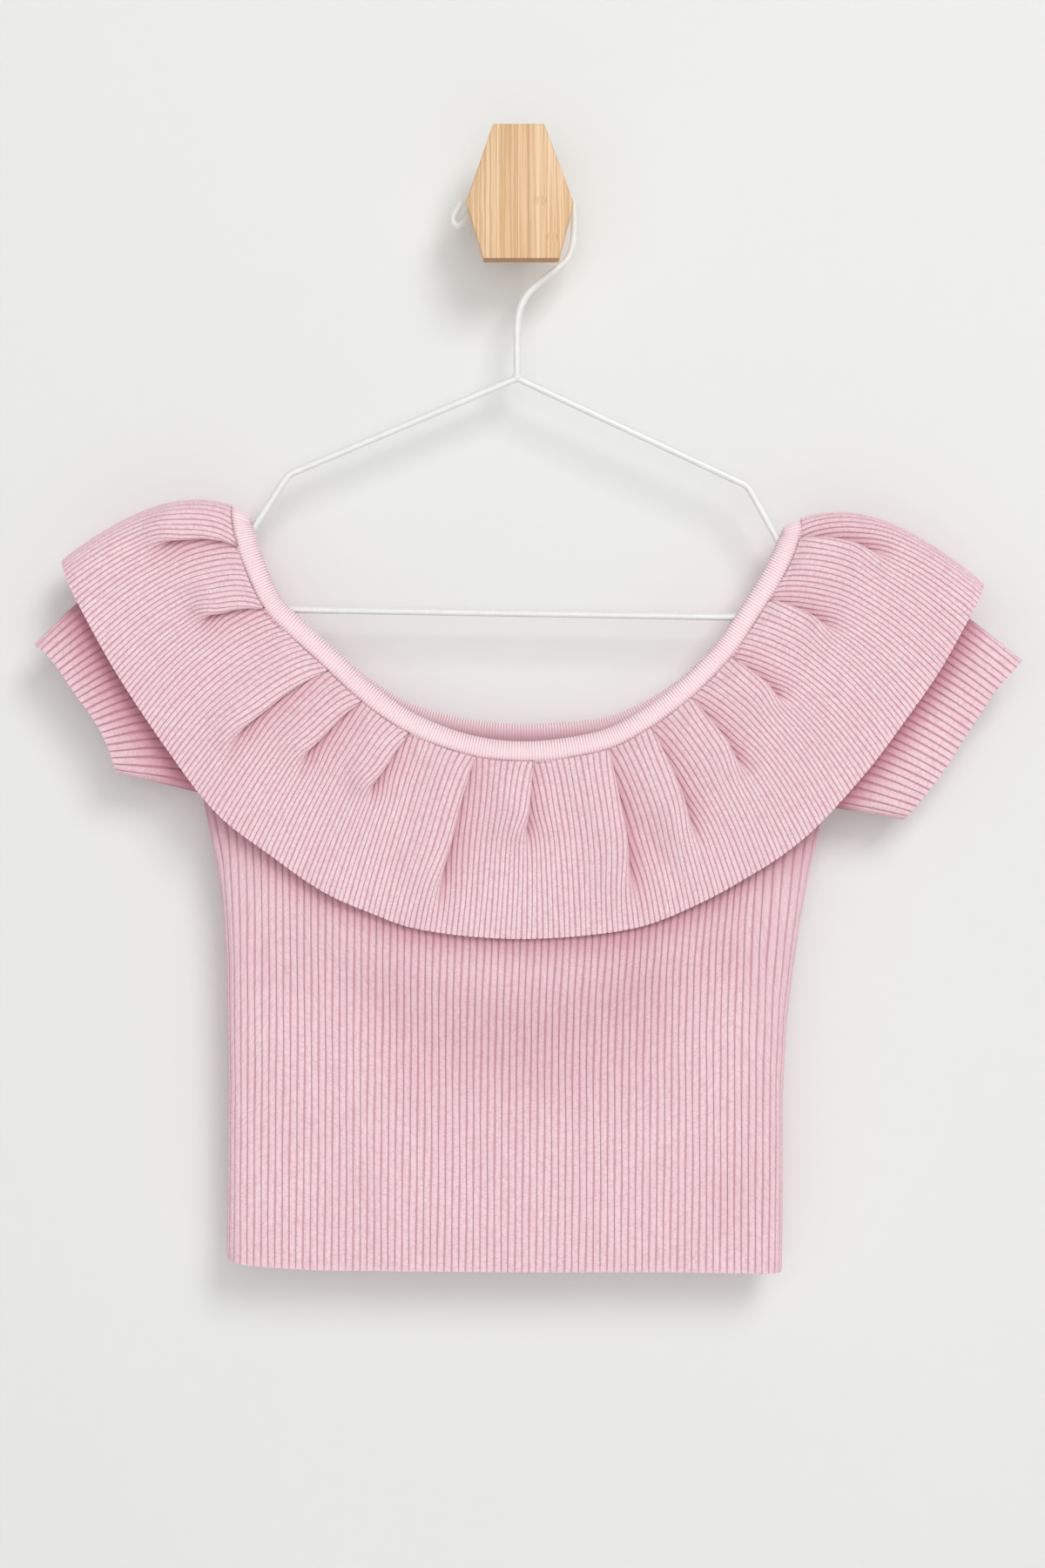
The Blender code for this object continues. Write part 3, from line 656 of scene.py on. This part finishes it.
sleeves = {
    "cuts": (0.0, 0.20, 0.33, 0.43, 0.50, 0.57, 0.67, 0.80),
    "rows": 26,
    "edgeRows": (0.0, 0.008, 0.02, 0.035, 0.06),
    "groove": 0.85,
    "tipRun": 9.0,        # along the neck seam, where a sleeve's top begins
    "ribRun": 80.0,
    "welt": 0.6,
    "weltOver": 1.6,
    "weltGroove": 0.55,   # how deep the grooves still are at the cuff's edge
    "sideFold": 14.0,
    "ripple": 0.3,
    "left": {
        "node": "sleeve_left", "side": 0, "ribs": 25, "arch": 10.0, "shadeReach": 14.0,
        "neckTip": (-151.2, -169.0),
        "cuff": [(-252.5, -236.7), (-243.9, -243.5), (-230.8, -261.9), (-219.6, -278.1),
                 (-212.8, -291.6), (-209.2, -303.8)],
    },
    "right": {
        "node": "sleeve_right", "side": 1, "ribs": 30, "arch": 7.0, "shadeReach": 9.5,
        "neckTip": (147.6, -175.5),
        "cuff": [(261.0, -244.8), (246.6, -261.0), (231.8, -283.5), (216.9, -306.4),
                 (199.3, -327.6)],
    },
}


def makeSleeve(name, sleeve):
    seam = neckSeam(-1).moved(cloth["seamGap"])
    side = sleeve["side"]
    run = np.linspace(sleeves["tipRun"], body["neckRuns"][side], 24)
    neck = seam.at(seam.length - run if side else run)
    sewn = ClothLine(np.vstack((sleeve["neckTip"], neck, body["underarms"][side])))
    cuff = smoothLine(sleeve["cuff"])
    share = np.linspace(0, 1, 121)
    half = sleeve["ribs"]  # on the front, and as many on the back
    column = ribColumns(2 * half, sleeves["cuts"])
    ribs = ribShape(column)
    front = column <= half
    across = np.where(front, column, 2 * half - column) / half
    places, alongRib, paintedShade = [], [], []
    for height in rowHeights(sleeves):
        spots = cuff.at(share * cuff.length) * (1 - height) + sewn.at(share * sewn.length) * height
        spots[:, 1] += sleeve["arch"] * 4 * height * (1 - height) * (1 - share) ** 1.5
        line = ClothLine(spots)
        above = height * sleeves["ribRun"]
        run = across * line.length
        inside = ease(np.minimum(run, line.length - run) / sleeves["sideFold"])
        run = run + waver(column, above) * inside
        stop = ease((above - sleeves["welt"]) / sleeves["weltOver"])
        stop = sleeves["weltGroove"] + (1 - sleeves["weltGroove"]) * stop
        layer = cloth["wall"] - sleeves["groove"] * (1 - ribs) * stop
        proud = sleeves["ripple"] * np.sin(across * 9 + above / 21) * inside
        row = layRow(line, run, layer, proud, -1)
        row[~front] = layRow(line, run, layer, proud, 1)[~front]
        places.append(row)
        alongRib.append(above)
        # painted shade beneath and beside the ruffle's edge
        paintedShade.append(shadeBesideRuffle(row[:, ::2], sleeve["shadeReach"]))
    piece = layGrid(name, sleeveFinish, places, column, alongRib, paintedShade, closed=True)
    giveThickness(piece)
    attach(piece, "root")
    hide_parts(sleeve["node"])
    return piece


sleeveLeft = makeSleeve("sleeveLeft", sleeves["left"])
sleeveRight = makeSleeve("sleeveRight", sleeves["right"])
print("sleeves")


# Ruffle

ruffle = {
    "ribs": 240,
    "cuts": (0.0, 0.32, 0.43, 0.50, 0.57, 0.68),
    "rows": 32,
    "rowCurve": 1.3,      # rows lie closer together near the seam
    "groove": 0.58,
    "depth": 92.0,        # from the neck seam to the free edge
    "waverRun": 90.0,     # what its ribs' waver is counted over
    "tipFold": 12.0,      # how near to the tips the ribs run straight
    "underBand": 0.9,     # how far its seam lies up under the neckband
    "clearance": 0.5,     # over the cloth beneath it at the seam
    "pressed": 0.36,      # what the seam leaves of a tuck's height
    "pressedReach": 0.10,
    "sunk": 0.7,          # how far the seam draws its edge in
    "sunkReach": 2.5,
    "archLeft": 12.0,     # rise of its top fold over a straight line
    "archRight": 14.0,
    "archReach": 62.0,
    "flareFront": 1.2,    # how far the free edge stands off at the middle
    "flareSide": 6.5,     # and over the sleeves
    "flareOver": 0.55,    # the share of the way out that this changes over
    "flareCurve": 1.3,
    "backEdgeRise": 3.0,
    "backEdgeOver": 70.0,
    "edgeWave": 0.5,
    "turnOut": 2.45,      # radius of a tuck's own fold
    "turnIn": 0.4,        # radius of the fold that lies under it
    "rampLength": 24.0,   # cloth that climbs onto a tuck
    "spread": 21.0,       # how far beside a tuck the cloth gives
    "opensFrom": 0.45,    # the share of its length past which a tuck opens
    "lapReach": 0.75,     # and the share that its lap runs out over
    "tuckAtSeam": 3.0,    # what a tuck takes up on the neck seam
    "shade": 1.15,        # painted shade beside a tuck's fold
    "shadeReach": 6.0,
    "shadeUnder": 1.2,
    "seamLap": 8.0,       # more cloth that a tuck takes in at the seam, where the ribs spread
    "seamLapReach": 0.13,
    "scallop": 0.55,
    # its place on the neck seam, and how far down it reaches
    "tucks": [
        (19.5, 0.62), (54.1, 0.50), (99.7, 0.85), (123.0, 0.60), (152.2, 0.50), (187.9, 1.00),
        (217.5, 0.55), (256.5, 1.00), (281.0, 0.80), (306.5, 0.62), (335.5, 0.48), (371.0, 0.50),
        (406.0, 0.62),
    ],
    # soft dents: place along the edge, place down, lean, half width, half length, how proud
    "dents": [
        (66.0, 0.55, 0.1, 9.0, 0.35, 1.0), (168.0, 0.65, -0.2, 8.0, 0.40, -0.9),
        (231.0, 0.75, 0.1, 10.0, 0.40, 0.9), (323.0, 0.55, 0.2, 10.0, 0.40, 0.8),
        (417.0, 0.66, 0.35, 5.0, 0.34, -1.9), (433.0, 0.66, 0.35, 7.0, 0.34, 1.5),
        (500.0, 0.70, 0.1, 11.0, 0.35, -0.9), (566.0, 0.60, -0.1, 12.0, 0.40, 1.0),
        (612.0, 0.60, 0.1, 9.0, 0.40, -0.8),
    ],
}


def tuckRow(down, line, seamLength, edgeLength):
    # how one row of the ruffle runs along its line and how high it lies, with its outward side and
    # the painted shade beside its tucks
    spare = (edgeLength - seamLength) / len(ruffle["tucks"])
    step = 0.1
    run = np.arange(0, edgeLength + step, step)
    advance, height = np.ones_like(run), np.zeros_like(run)
    slope, under = np.zeros_like(run), np.zeros_like(run)
    turnOut, turnIn = math.pi * ruffle["turnOut"], math.pi * ruffle["turnIn"]
    fullLap = (spare - turnOut - turnIn) / 2
    for index, (seam, reach) in enumerate(ruffle["tucks"]):
        at = run - seam - spare * (index + 0.5)
        lap = (fullLap * np.clip(1 - down / (ruffle["lapReach"] * reach), 0, 1)
               + ruffle["seamLap"] / 2 * math.exp(-down / ruffle["seamLapReach"]))
        opened = ease((down / reach - ruffle["opensFrom"]) / (1 - ruffle["opensFrom"]))
        turn = math.pi * (1 - opened)
        start = -(turnOut + lap + turnIn) / 2
        angle = turn * (np.clip((at - start) / turnOut, 0, 1)
                        - np.clip((at - start - turnOut - lap) / turnIn, 0, 1))
        fall = np.sin(angle)
        drop = fall.sum() * step
        ramp = ease((at - start + 0.9 * lap) / ruffle["rampLength"] + 1)
        height += drop * ramp - np.cumsum(fall) * step
        slope += np.gradient(drop * ramp, step) - fall
        advance += np.cos(angle) - 1
        # painted shade beside a tuck's fold and under its flap
        past = at - start - turnOut - lap - 0.5 * turnIn
        beside = ruffle["shade"] * np.exp(-past / ruffle["shadeReach"])
        under += (1 - opened) * np.where(past > 0, beside, np.exp(past / ruffle["shadeUnder"]))
        spread = np.exp(-(at / ruffle["spread"]) ** 2) * np.clip(np.cos(angle), 0, 1)
        taken = (1 - np.cos(angle)).sum() * step
        advance -= (spare * (1 - down) - taken) * spread / (spread.sum() * step)
    along = np.concatenate(([0.0], np.cumsum((advance[1:] + advance[:-1]) / 2) * step))
    size = np.hypot(advance, slope)
    return run, along * line.length / along[-1], height, -slope / size, advance / size, under


def makeRuffle(name, node, facing):
    seam = neckSeam(facing).moved(-ruffle["underBand"])
    edge = ruffleEdge
    spare = (edge.length - seam.length) / len(ruffle["tucks"])
    laid, sewn = [0.0], [0.0]
    for index, (place, _) in enumerate(ruffle["tucks"]):
        laid += [place + spare * index, place + spare * (index + 1)]
        sewn += [place - ruffle["tuckAtSeam"] / 2, place + ruffle["tuckAtSeam"] / 2]
    laid, sewn = np.array(laid + [edge.length]), np.array(sewn + [seam.length])
    guide = np.linspace(0, edge.length, 420)
    seamPlaces = seam.at(np.interp(guide, laid, sewn))
    edgePlaces = edge.at(guide)
    if facing > 0:
        fromTip = np.minimum(guide, edge.length - guide)
        edgePlaces[:, 1] += ((ruffle["backEdgeRise"] + backRise(edgePlaces[:, 0]))
                             * ease(fromTip / ruffle["backEdgeOver"]))
    arch = (ruffle["archLeft"] * np.exp(-(guide / ruffle["archReach"]) ** 2)
            + ruffle["archRight"] * np.exp(-((edge.length - guide) / ruffle["archReach"]) ** 2))
    column = ribColumns(ruffle["ribs"], ruffle["cuts"])
    ribs = ribShape(column)
    flat = column / ruffle["ribs"] * edge.length
    side = ease(np.abs(2 * flat / edge.length - 1) / ruffle["flareOver"])
    flare = ruffle["flareFront"] + (ruffle["flareSide"] - ruffle["flareFront"]) * side
    places, alongRib, paintedShade = [], [], []
    for down in np.linspace(0, 1, ruffle["rows"]) ** ruffle["rowCurve"]:
        spots = seamPlaces * (1 - down) + edgePlaces * down
        spots[:, 1] += arch * 4 * down * (1 - down) * (1.2 - 0.4 * down)
        line = ClothLine(spots)
        run, along, height, leanAcross, leanOut, under = tuckRow(down, line, seam.length,
                                                                 edge.length)
        deep = ruffle["groove"] * (1 - ribs)
        strayed = flat + (waver(column, down * ruffle["waverRun"])
                          * ease(np.minimum(flat, edge.length - flat) / ruffle["tipFold"]))
        where = np.interp(strayed, run, along) - deep * np.interp(strayed, run, leanAcross)
        pressed = ruffle["pressed"] + (1 - ruffle["pressed"]) * ease(down / ruffle["pressedReach"])
        stand = np.interp(strayed, run, height) * pressed
        sunk = ruffle["sunk"] * (1 - ease(down * ruffle["waverRun"] / ruffle["sunkReach"]))
        for place, middle, lean, wide, tall, rise in ruffle["dents"]:
            across = flat - place + lean * (1 - down) * ruffle["depth"]
            stand += rise * np.exp(-(across / wide) ** 2 - ((down - middle) / tall) ** 2)
        outer = cloth["wall"] - deep * np.interp(strayed, run, leanOut)
        wave = ruffle["edgeWave"] * down ** 2 * np.sin(flat / 31 + 1.3) * np.sin(flat / 13)
        proud = (ruffle["clearance"] + cloth["wall"] + flare * down ** ruffle["flareCurve"]
                 + stand - sunk + wave)
        row = layRow(line, np.clip(where, 0, line.length), outer, proud, facing)
        if down == 1:
            row[:, 2] -= ruffle["scallop"] * ribs
        places.append(row)
        alongRib.append(down * ruffle["depth"])
        # painted shade beside the tucks
        paintedShade.append(np.interp(strayed, run, under))
    piece = layGrid(name, ruffleFinish, places, column, alongRib, paintedShade, facing)
    giveThickness(piece)
    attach(piece, "root")
    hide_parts(node)
    return piece


ruffleFront = makeRuffle("ruffleFront", "ruffle_front", -1)
ruffleBack = makeRuffle("ruffleBack", "ruffle_back", 1)
print("ruffle")


# Neckband

def bandPath(column, facing):
    seam = neckSeam(facing)
    run = column / band["ribs"] * seam.length
    halfThick = band["thickness"] / 2
    first, fromEnd, space, angle, flat = foldOver(seam, run, halfThick)
    inset = (halfThick * (1 - 2 * fromEnd / seam.length) + space * (1 - np.cos(angle)) + flat)
    spot = np.where(first, inset, seam.length - inset)
    place = seam.at(spot)
    heading = seam.headings(np.clip(spot, 1.0, seam.length - 1.0))
    off = (innerSpace(place) + halfThick) * np.sin(angle)
    side = np.where(first, 1, -1)
    lean = (np.arctan2(heading[:, 0], -heading[:, 1])
            - side * band["tipDrop"] * np.exp(-(fromEnd / band["tipReach"]) ** 2))
    zero = np.zeros_like(lean)
    across = np.column_stack((np.cos(lean), zero, np.sin(lean)))
    outward = np.column_stack((-side * heading[:, 0] * np.cos(angle), facing * np.sin(angle),
                               -side * heading[:, 1] * np.cos(angle)))
    centre = np.column_stack((place[:, 0], facing * off - cloth["hangDepth"], place[:, 1]))
    return centre, across, outward


def makeBand():
    half = band["ribs"]
    column = ribColumns(2 * half, band["cuts"])
    front = column <= half
    centre, across, outward = bandPath(np.where(front, column, 0), -1)
    behind = bandPath(np.where(front, 0, 2 * half - column), 1)
    for values, others in zip((centre, across, outward), behind):
        values[~front] = others[~front]
    ribs = ribShape(column)
    places, alongRib, paintedShade = [], [], []
    for turn in np.linspace(0, fullTurn, band["sides"] + 1):
        cosine, sine = math.cos(turn), math.sin(turn)
        wide = band["width"] / 2 - band["groove"] * (1 - ribs)
        thick = band["thickness"] / 2 - band["groove"] * (1 - ribs)
        middle = band["gap"] + band["width"] / 2
        bulge = math.copysign(abs(sine) ** band["square"], sine)
        places.append(centre + across * (middle + wide * cosine)[:, None]
                      + outward * (thick * bulge)[:, None])
        # painted shade on the back band's inner side, deepest towards the seam
        inner = max(-sine, 0.0) * band["innerShade"] * (1 - cosine)
        paintedShade.append(np.where(front, 0.0, inner))
        alongRib.append(turn / fullTurn * band["girth"])
    piece = layGrid("neckBand", bandFinish, places, column, alongRib, paintedShade, closed=True)
    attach(piece, "root")
    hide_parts("neckband")


makeBand()
print("neckband")


# Stitches of the neck seam

stitches = {
    "pitch": 1.9,
    "length": 1.5,
    "radius": 0.30,
    "lean": math.radians(28),
    "clearOfTips": (9.0, 8.0),
    "off": 3.75,          # outside the cloth's inner side
}


def makeStitches():
    bm = bmesh.new()
    first, last = stitches["clearOfTips"]
    for facing in (-1, 1):
        seam = neckSeam(facing)
        for run in np.arange(first, seam.length - last, stitches["pitch"]):
            place = seam.at(np.array([run]))
            heading = seam.headings(np.array([run]))[0]
            off = innerSpace(place)[0] + stitches["off"]
            turn = math.atan2(heading[1], heading[0]) + stitches["lean"]
            place = Vector((place[0, 0], facing * off - cloth["hangDepth"], place[0, 1])) * mm
            matrix = (Matrix.Translation(place) @ Matrix.Rotation(-turn, 4, "Y")
                      @ Matrix.Diagonal((stitches["length"] / 2 * mm, stitches["radius"] * mm,
                                         stitches["radius"] * mm, 1)))
            bmesh.ops.create_uvsphere(bm, u_segments=6, v_segments=4, radius=1, matrix=matrix)
    mesh = meshFrom(bm, "seamStitches")
    mesh.shade_smooth()
    piece = addObject("seamStitches", mesh)
    piece.data.materials.append(yarnFinish)
    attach(piece, "root")
    return piece


seamStitches = makeStitches()
print("seam stitches")


# Hanger

hanger = {
    "wire": 3.8,
    "crookCentre": (-1.4, -15.1),
    "crookRadius": 29.9,
    "crookTurn": (128, -6),   # degrees, from the curl to the neck
    "neck": [
        (28.3, -18.2), (28.2, -23.6), (27.2, -30.2), (24.2, -36.8), (14.9, -44.6), (5.4, -52.8),
        (0.6, -60.6), (-1.2, -69.0), (-1.4, -80.0), (-1.4, -97.0),
    ],
    "curl": [
        (-19.8, 8.5), (-22.2, 3.0), (-23.4, -3.0), (-25.0, -9.0), (-28.0, -14.6),
        (-32.2, -18.4), (-34.6, -16.6), (-34.4, -13.4), (-31.9, -9.0), (-30.4, -6.6),
    ],
    "frame": [(-1.4, -98.0), (-120.5, -148.3), (-165.4, -217.6), (156.7, -223.1),
              (118.7, -154.2)],
    "bends": (3.0, 11.0, 11.0, 11.0, 11.0),
    "weld": (-1.4, -97.6),    # where hook and frame meet
    "weldSize": (3.1, 2.35, 2.3),
}


def bentWire(name, path, closed):
    curve = bpy.data.curves.new(name, "CURVE")
    curve.dimensions = "3D"
    curve.bevel_depth = hanger["wire"] / 2 * mm
    curve.bevel_resolution = 5
    curve.use_fill_caps = True
    spline = curve.splines.new("POLY")
    spline.points.add(len(path) - 1)
    spline.use_cyclic_u = closed
    for point, (x, z) in zip(spline.points, path):
        point.co = (x * mm, -cloth["hangDepth"] * mm, z * mm, 1)
    maker = bpy.data.objects.new(name, curve)
    mesh = bpy.data.meshes.new_from_object(maker)
    bpy.data.objects.remove(maker)
    return mesh


def roundedLoop(corners, radii, steps=12):
    path = []
    corners = np.array(corners, dtype=float)
    for index, corner in enumerate(corners):
        before = corners[index - 1] - corner
        after = corners[(index + 1) % len(corners)] - corner
        before, after = before / np.linalg.norm(before), after / np.linalg.norm(after)
        half = np.arccos(np.clip(before @ after, -1, 1)) / 2
        reach = radii[index] / np.tan(half)
        for share in np.linspace(0, 1, steps):
            a = corner + before * reach * (1 - share)
            b = corner + after * reach * share
            path.append(a * (1 - share) + b * share)
    return np.array(path)


def makeHanger():
    turns = np.radians(np.linspace(*hanger["crookTurn"], 50))
    crook = np.array(hanger["crookCentre"]) + hanger["crookRadius"] * np.column_stack(
        (np.cos(turns), np.sin(turns)))
    curl = smoothLine(hanger["curl"], 8).places[:0:-1]
    neck = smoothLine(hanger["neck"], 8).places
    bm = bmesh.new()
    for mesh in (bentWire("hook", np.vstack((curl, crook, neck[1:])), False),
                 bentWire("loop", roundedLoop(hanger["frame"], hanger["bends"]), True)):
        bm.from_mesh(mesh)
        bpy.data.meshes.remove(mesh)
    weldX, weldZ = hanger["weld"]
    weld = Matrix.Translation(Vector((weldX, -cloth["hangDepth"], weldZ)) * mm)
    weld @= Matrix.Diagonal([size * mm for size in hanger["weldSize"]] + [1])
    bmesh.ops.create_uvsphere(bm, u_segments=20, v_segments=12, radius=1, matrix=weld)
    mesh = meshFrom(bm, "hangerWire")
    mesh.shade_smooth()
    piece = addObject("hangerWire", mesh)
    piece.data.materials.append(lacquerFinish)
    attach(piece, "root")
    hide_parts("hanger_hook", "hanger_arm_left", "hanger_arm_right", "hanger_bar")


makeHanger()
print("hanger")


# Wall hook

hook = {
    "outline": [(-13.8, 29.7), (12.5, 29.7), (27.7, -10.6), (20.1, -39.6), (-18.8, -39.6),
                (-27.7, -10.6)],
    "front": 50.3,        # from the wall to the plate's face
    "thickness": 12.0,
    "edge": 0.8,
    "stem": 12.5,         # its radius
    "stemEdge": 0.6,
}


def makeHook():
    bm = bmesh.new()
    corners = [bm.verts.new((x * mm, -hook["front"] * mm, z * mm)) for x, z in hook["outline"]]
    face = bm.faces.new(corners)
    made = bmesh.ops.extrude_face_region(bm, geom=[face])
    moved = [item for item in made["geom"] if isinstance(item, bmesh.types.BMVert)]
    bmesh.ops.translate(bm, verts=moved, vec=(0, hook["thickness"] * mm, 0))
    bmesh.ops.recalc_face_normals(bm, faces=bm.faces)
    bmesh.ops.bevel(bm, geom=bm.edges[:], offset=hook["edge"] * mm, affect="EDGES", segments=3,
                    profile=0.5, material=-1)
    plate = meshFrom(bm, "hookPlate")

    bm = bmesh.new()
    length = hook["front"] - hook["thickness"]
    matrix = Matrix.Translation((0, -length / 2 * mm, 0)) @ Matrix.Rotation(math.pi / 2, 4, "X")
    bmesh.ops.create_cone(bm, cap_ends=True, segments=64, radius1=hook["stem"] * mm,
                          radius2=hook["stem"] * mm, depth=length * mm, matrix=matrix)
    rims = [edge for edge in bm.edges if abs(edge.calc_face_angle(0)) > 1.2]
    bmesh.ops.bevel(bm, geom=rims, offset=hook["stemEdge"] * mm, affect="EDGES", segments=2,
                    profile=0.5, material=-1)
    stem = meshFrom(bm, "hookStem")
    for mesh, node in ((plate, "hook_plate"), (stem, "hook_stem")):
        piece = addObject(mesh.name, mesh)
        mesh.shade_smooth()
        mesh.set_sharp_from_angle(angle=math.radians(40))
        mesh.materials.append(bambooFinish)
        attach(piece, "root")
        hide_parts(node)


makeHook()
print("wall hook")


# Studio

studio = {
    "wall": (0.785, 0.79, 0.78, 1),
    "floor": (0.80, 0.80, 0.79, 1),
    "wallWidth": 6.0,
    "floorHeight": -1.35,
    "camera": (0.00135, -1.540, -0.30915),
    "lens": 36 * 1500 / 810,   # 810 mm high at the cloth, 1500 mm away
    # name, place, what it points at, size, power
    "lights": [
        ("key", (1.15, -2.9, 1.45), (0, 0, -0.30), 1.5, 49.5),
        ("front", (0.1, -3.2, 0.1), (0, 0, -0.32), 2.4, 31),
        ("fill", (-1.7, -2.6, -0.5), (0, 0, -0.35), 2.2, 7.5),
        ("behind", (0.2, 1.8, 0.4), (0, 0, -0.30), 1.8, 14),
    ],
    "sky": (1.0, 1.0, 0.995, 1),
    "skyStrength": 0.30,
}


def stageFinish(name, colour):
    # seen from behind, and by light from behind, the backdrop isn't there
    made = Finish(name, Roughness=0.9, Specular_IOR_Level=0.1)
    place = made.node("TexCoord", out=3)
    mottle = made.noise(place, 3.0, 2.0)
    tone = made.blend(made.soften(mottle, 0.3, 0.7) * 0.3, colour,
                      tuple(0.97 * part for part in colour[:3]) + (1,))
    made.finish(tone)
    behind = made.node("NewGeometry", out=6)
    shadow = made.node("LightPath", out=1)
    clear = made.node("BsdfTransparent")
    surface = Strand(made.shader.outputs[0])
    shown = made.node("MixShader", None, {0: behind.most(shadow), 1: surface, 2: clear})
    plug(made.tree.nodes["Material Output"].inputs["Surface"], shown)
    return made.material


def makeStage():
    for name, colour, size, matrix in (
            ("wall", studio["wall"], studio["wallWidth"],
             Matrix.Translation((0, 0.0, studio["floorHeight"] + studio["wallWidth"] / 2))
             @ Matrix.Rotation(math.pi / 2, 4, "X")),
            ("floor", studio["floor"], studio["wallWidth"],
             Matrix.Translation((0, -studio["wallWidth"] / 2, studio["floorHeight"])))):
        bm = bmesh.new()
        bmesh.ops.create_grid(bm, x_segments=1, y_segments=1, size=size / 2, matrix=matrix)
        mesh = meshFrom(bm, name)
        backdrop = addObject(name, mesh)
        mesh.materials.append(stageFinish(name + "Paint", colour))


def makeLight(name, place, target, size, power):
    light = bpy.data.lights.new(name, "AREA")
    light.shape = "DISK"
    light.size = size
    light.energy = power
    lamp = addObject(name, light)
    lamp.location = place
    lamp.rotation_euler = (Vector(target) - Vector(place)).to_track_quat("-Z", "Y").to_euler()


def makeCamera():
    camera = addObject("camera", bpy.data.cameras.new("camera"))
    camera.location = studio["camera"]
    camera.rotation_euler = (math.pi / 2, 0, 0)
    camera.data.lens = studio["lens"]
    camera.data.clip_end = 20
    bpy.context.scene.camera = camera


makeStage()
makeCamera()
for light in studio["lights"]:
    makeLight(*light)
world = bpy.data.worlds.new("studio")
bpy.context.scene.world = world
world.use_nodes = True
sky = world.node_tree.nodes["Background"]
sky.inputs["Color"].default_value = studio["sky"]
sky.inputs["Strength"].default_value = studio["skyStrength"]
bpy.context.scene.view_settings.view_transform = "Standard"
print("studio")
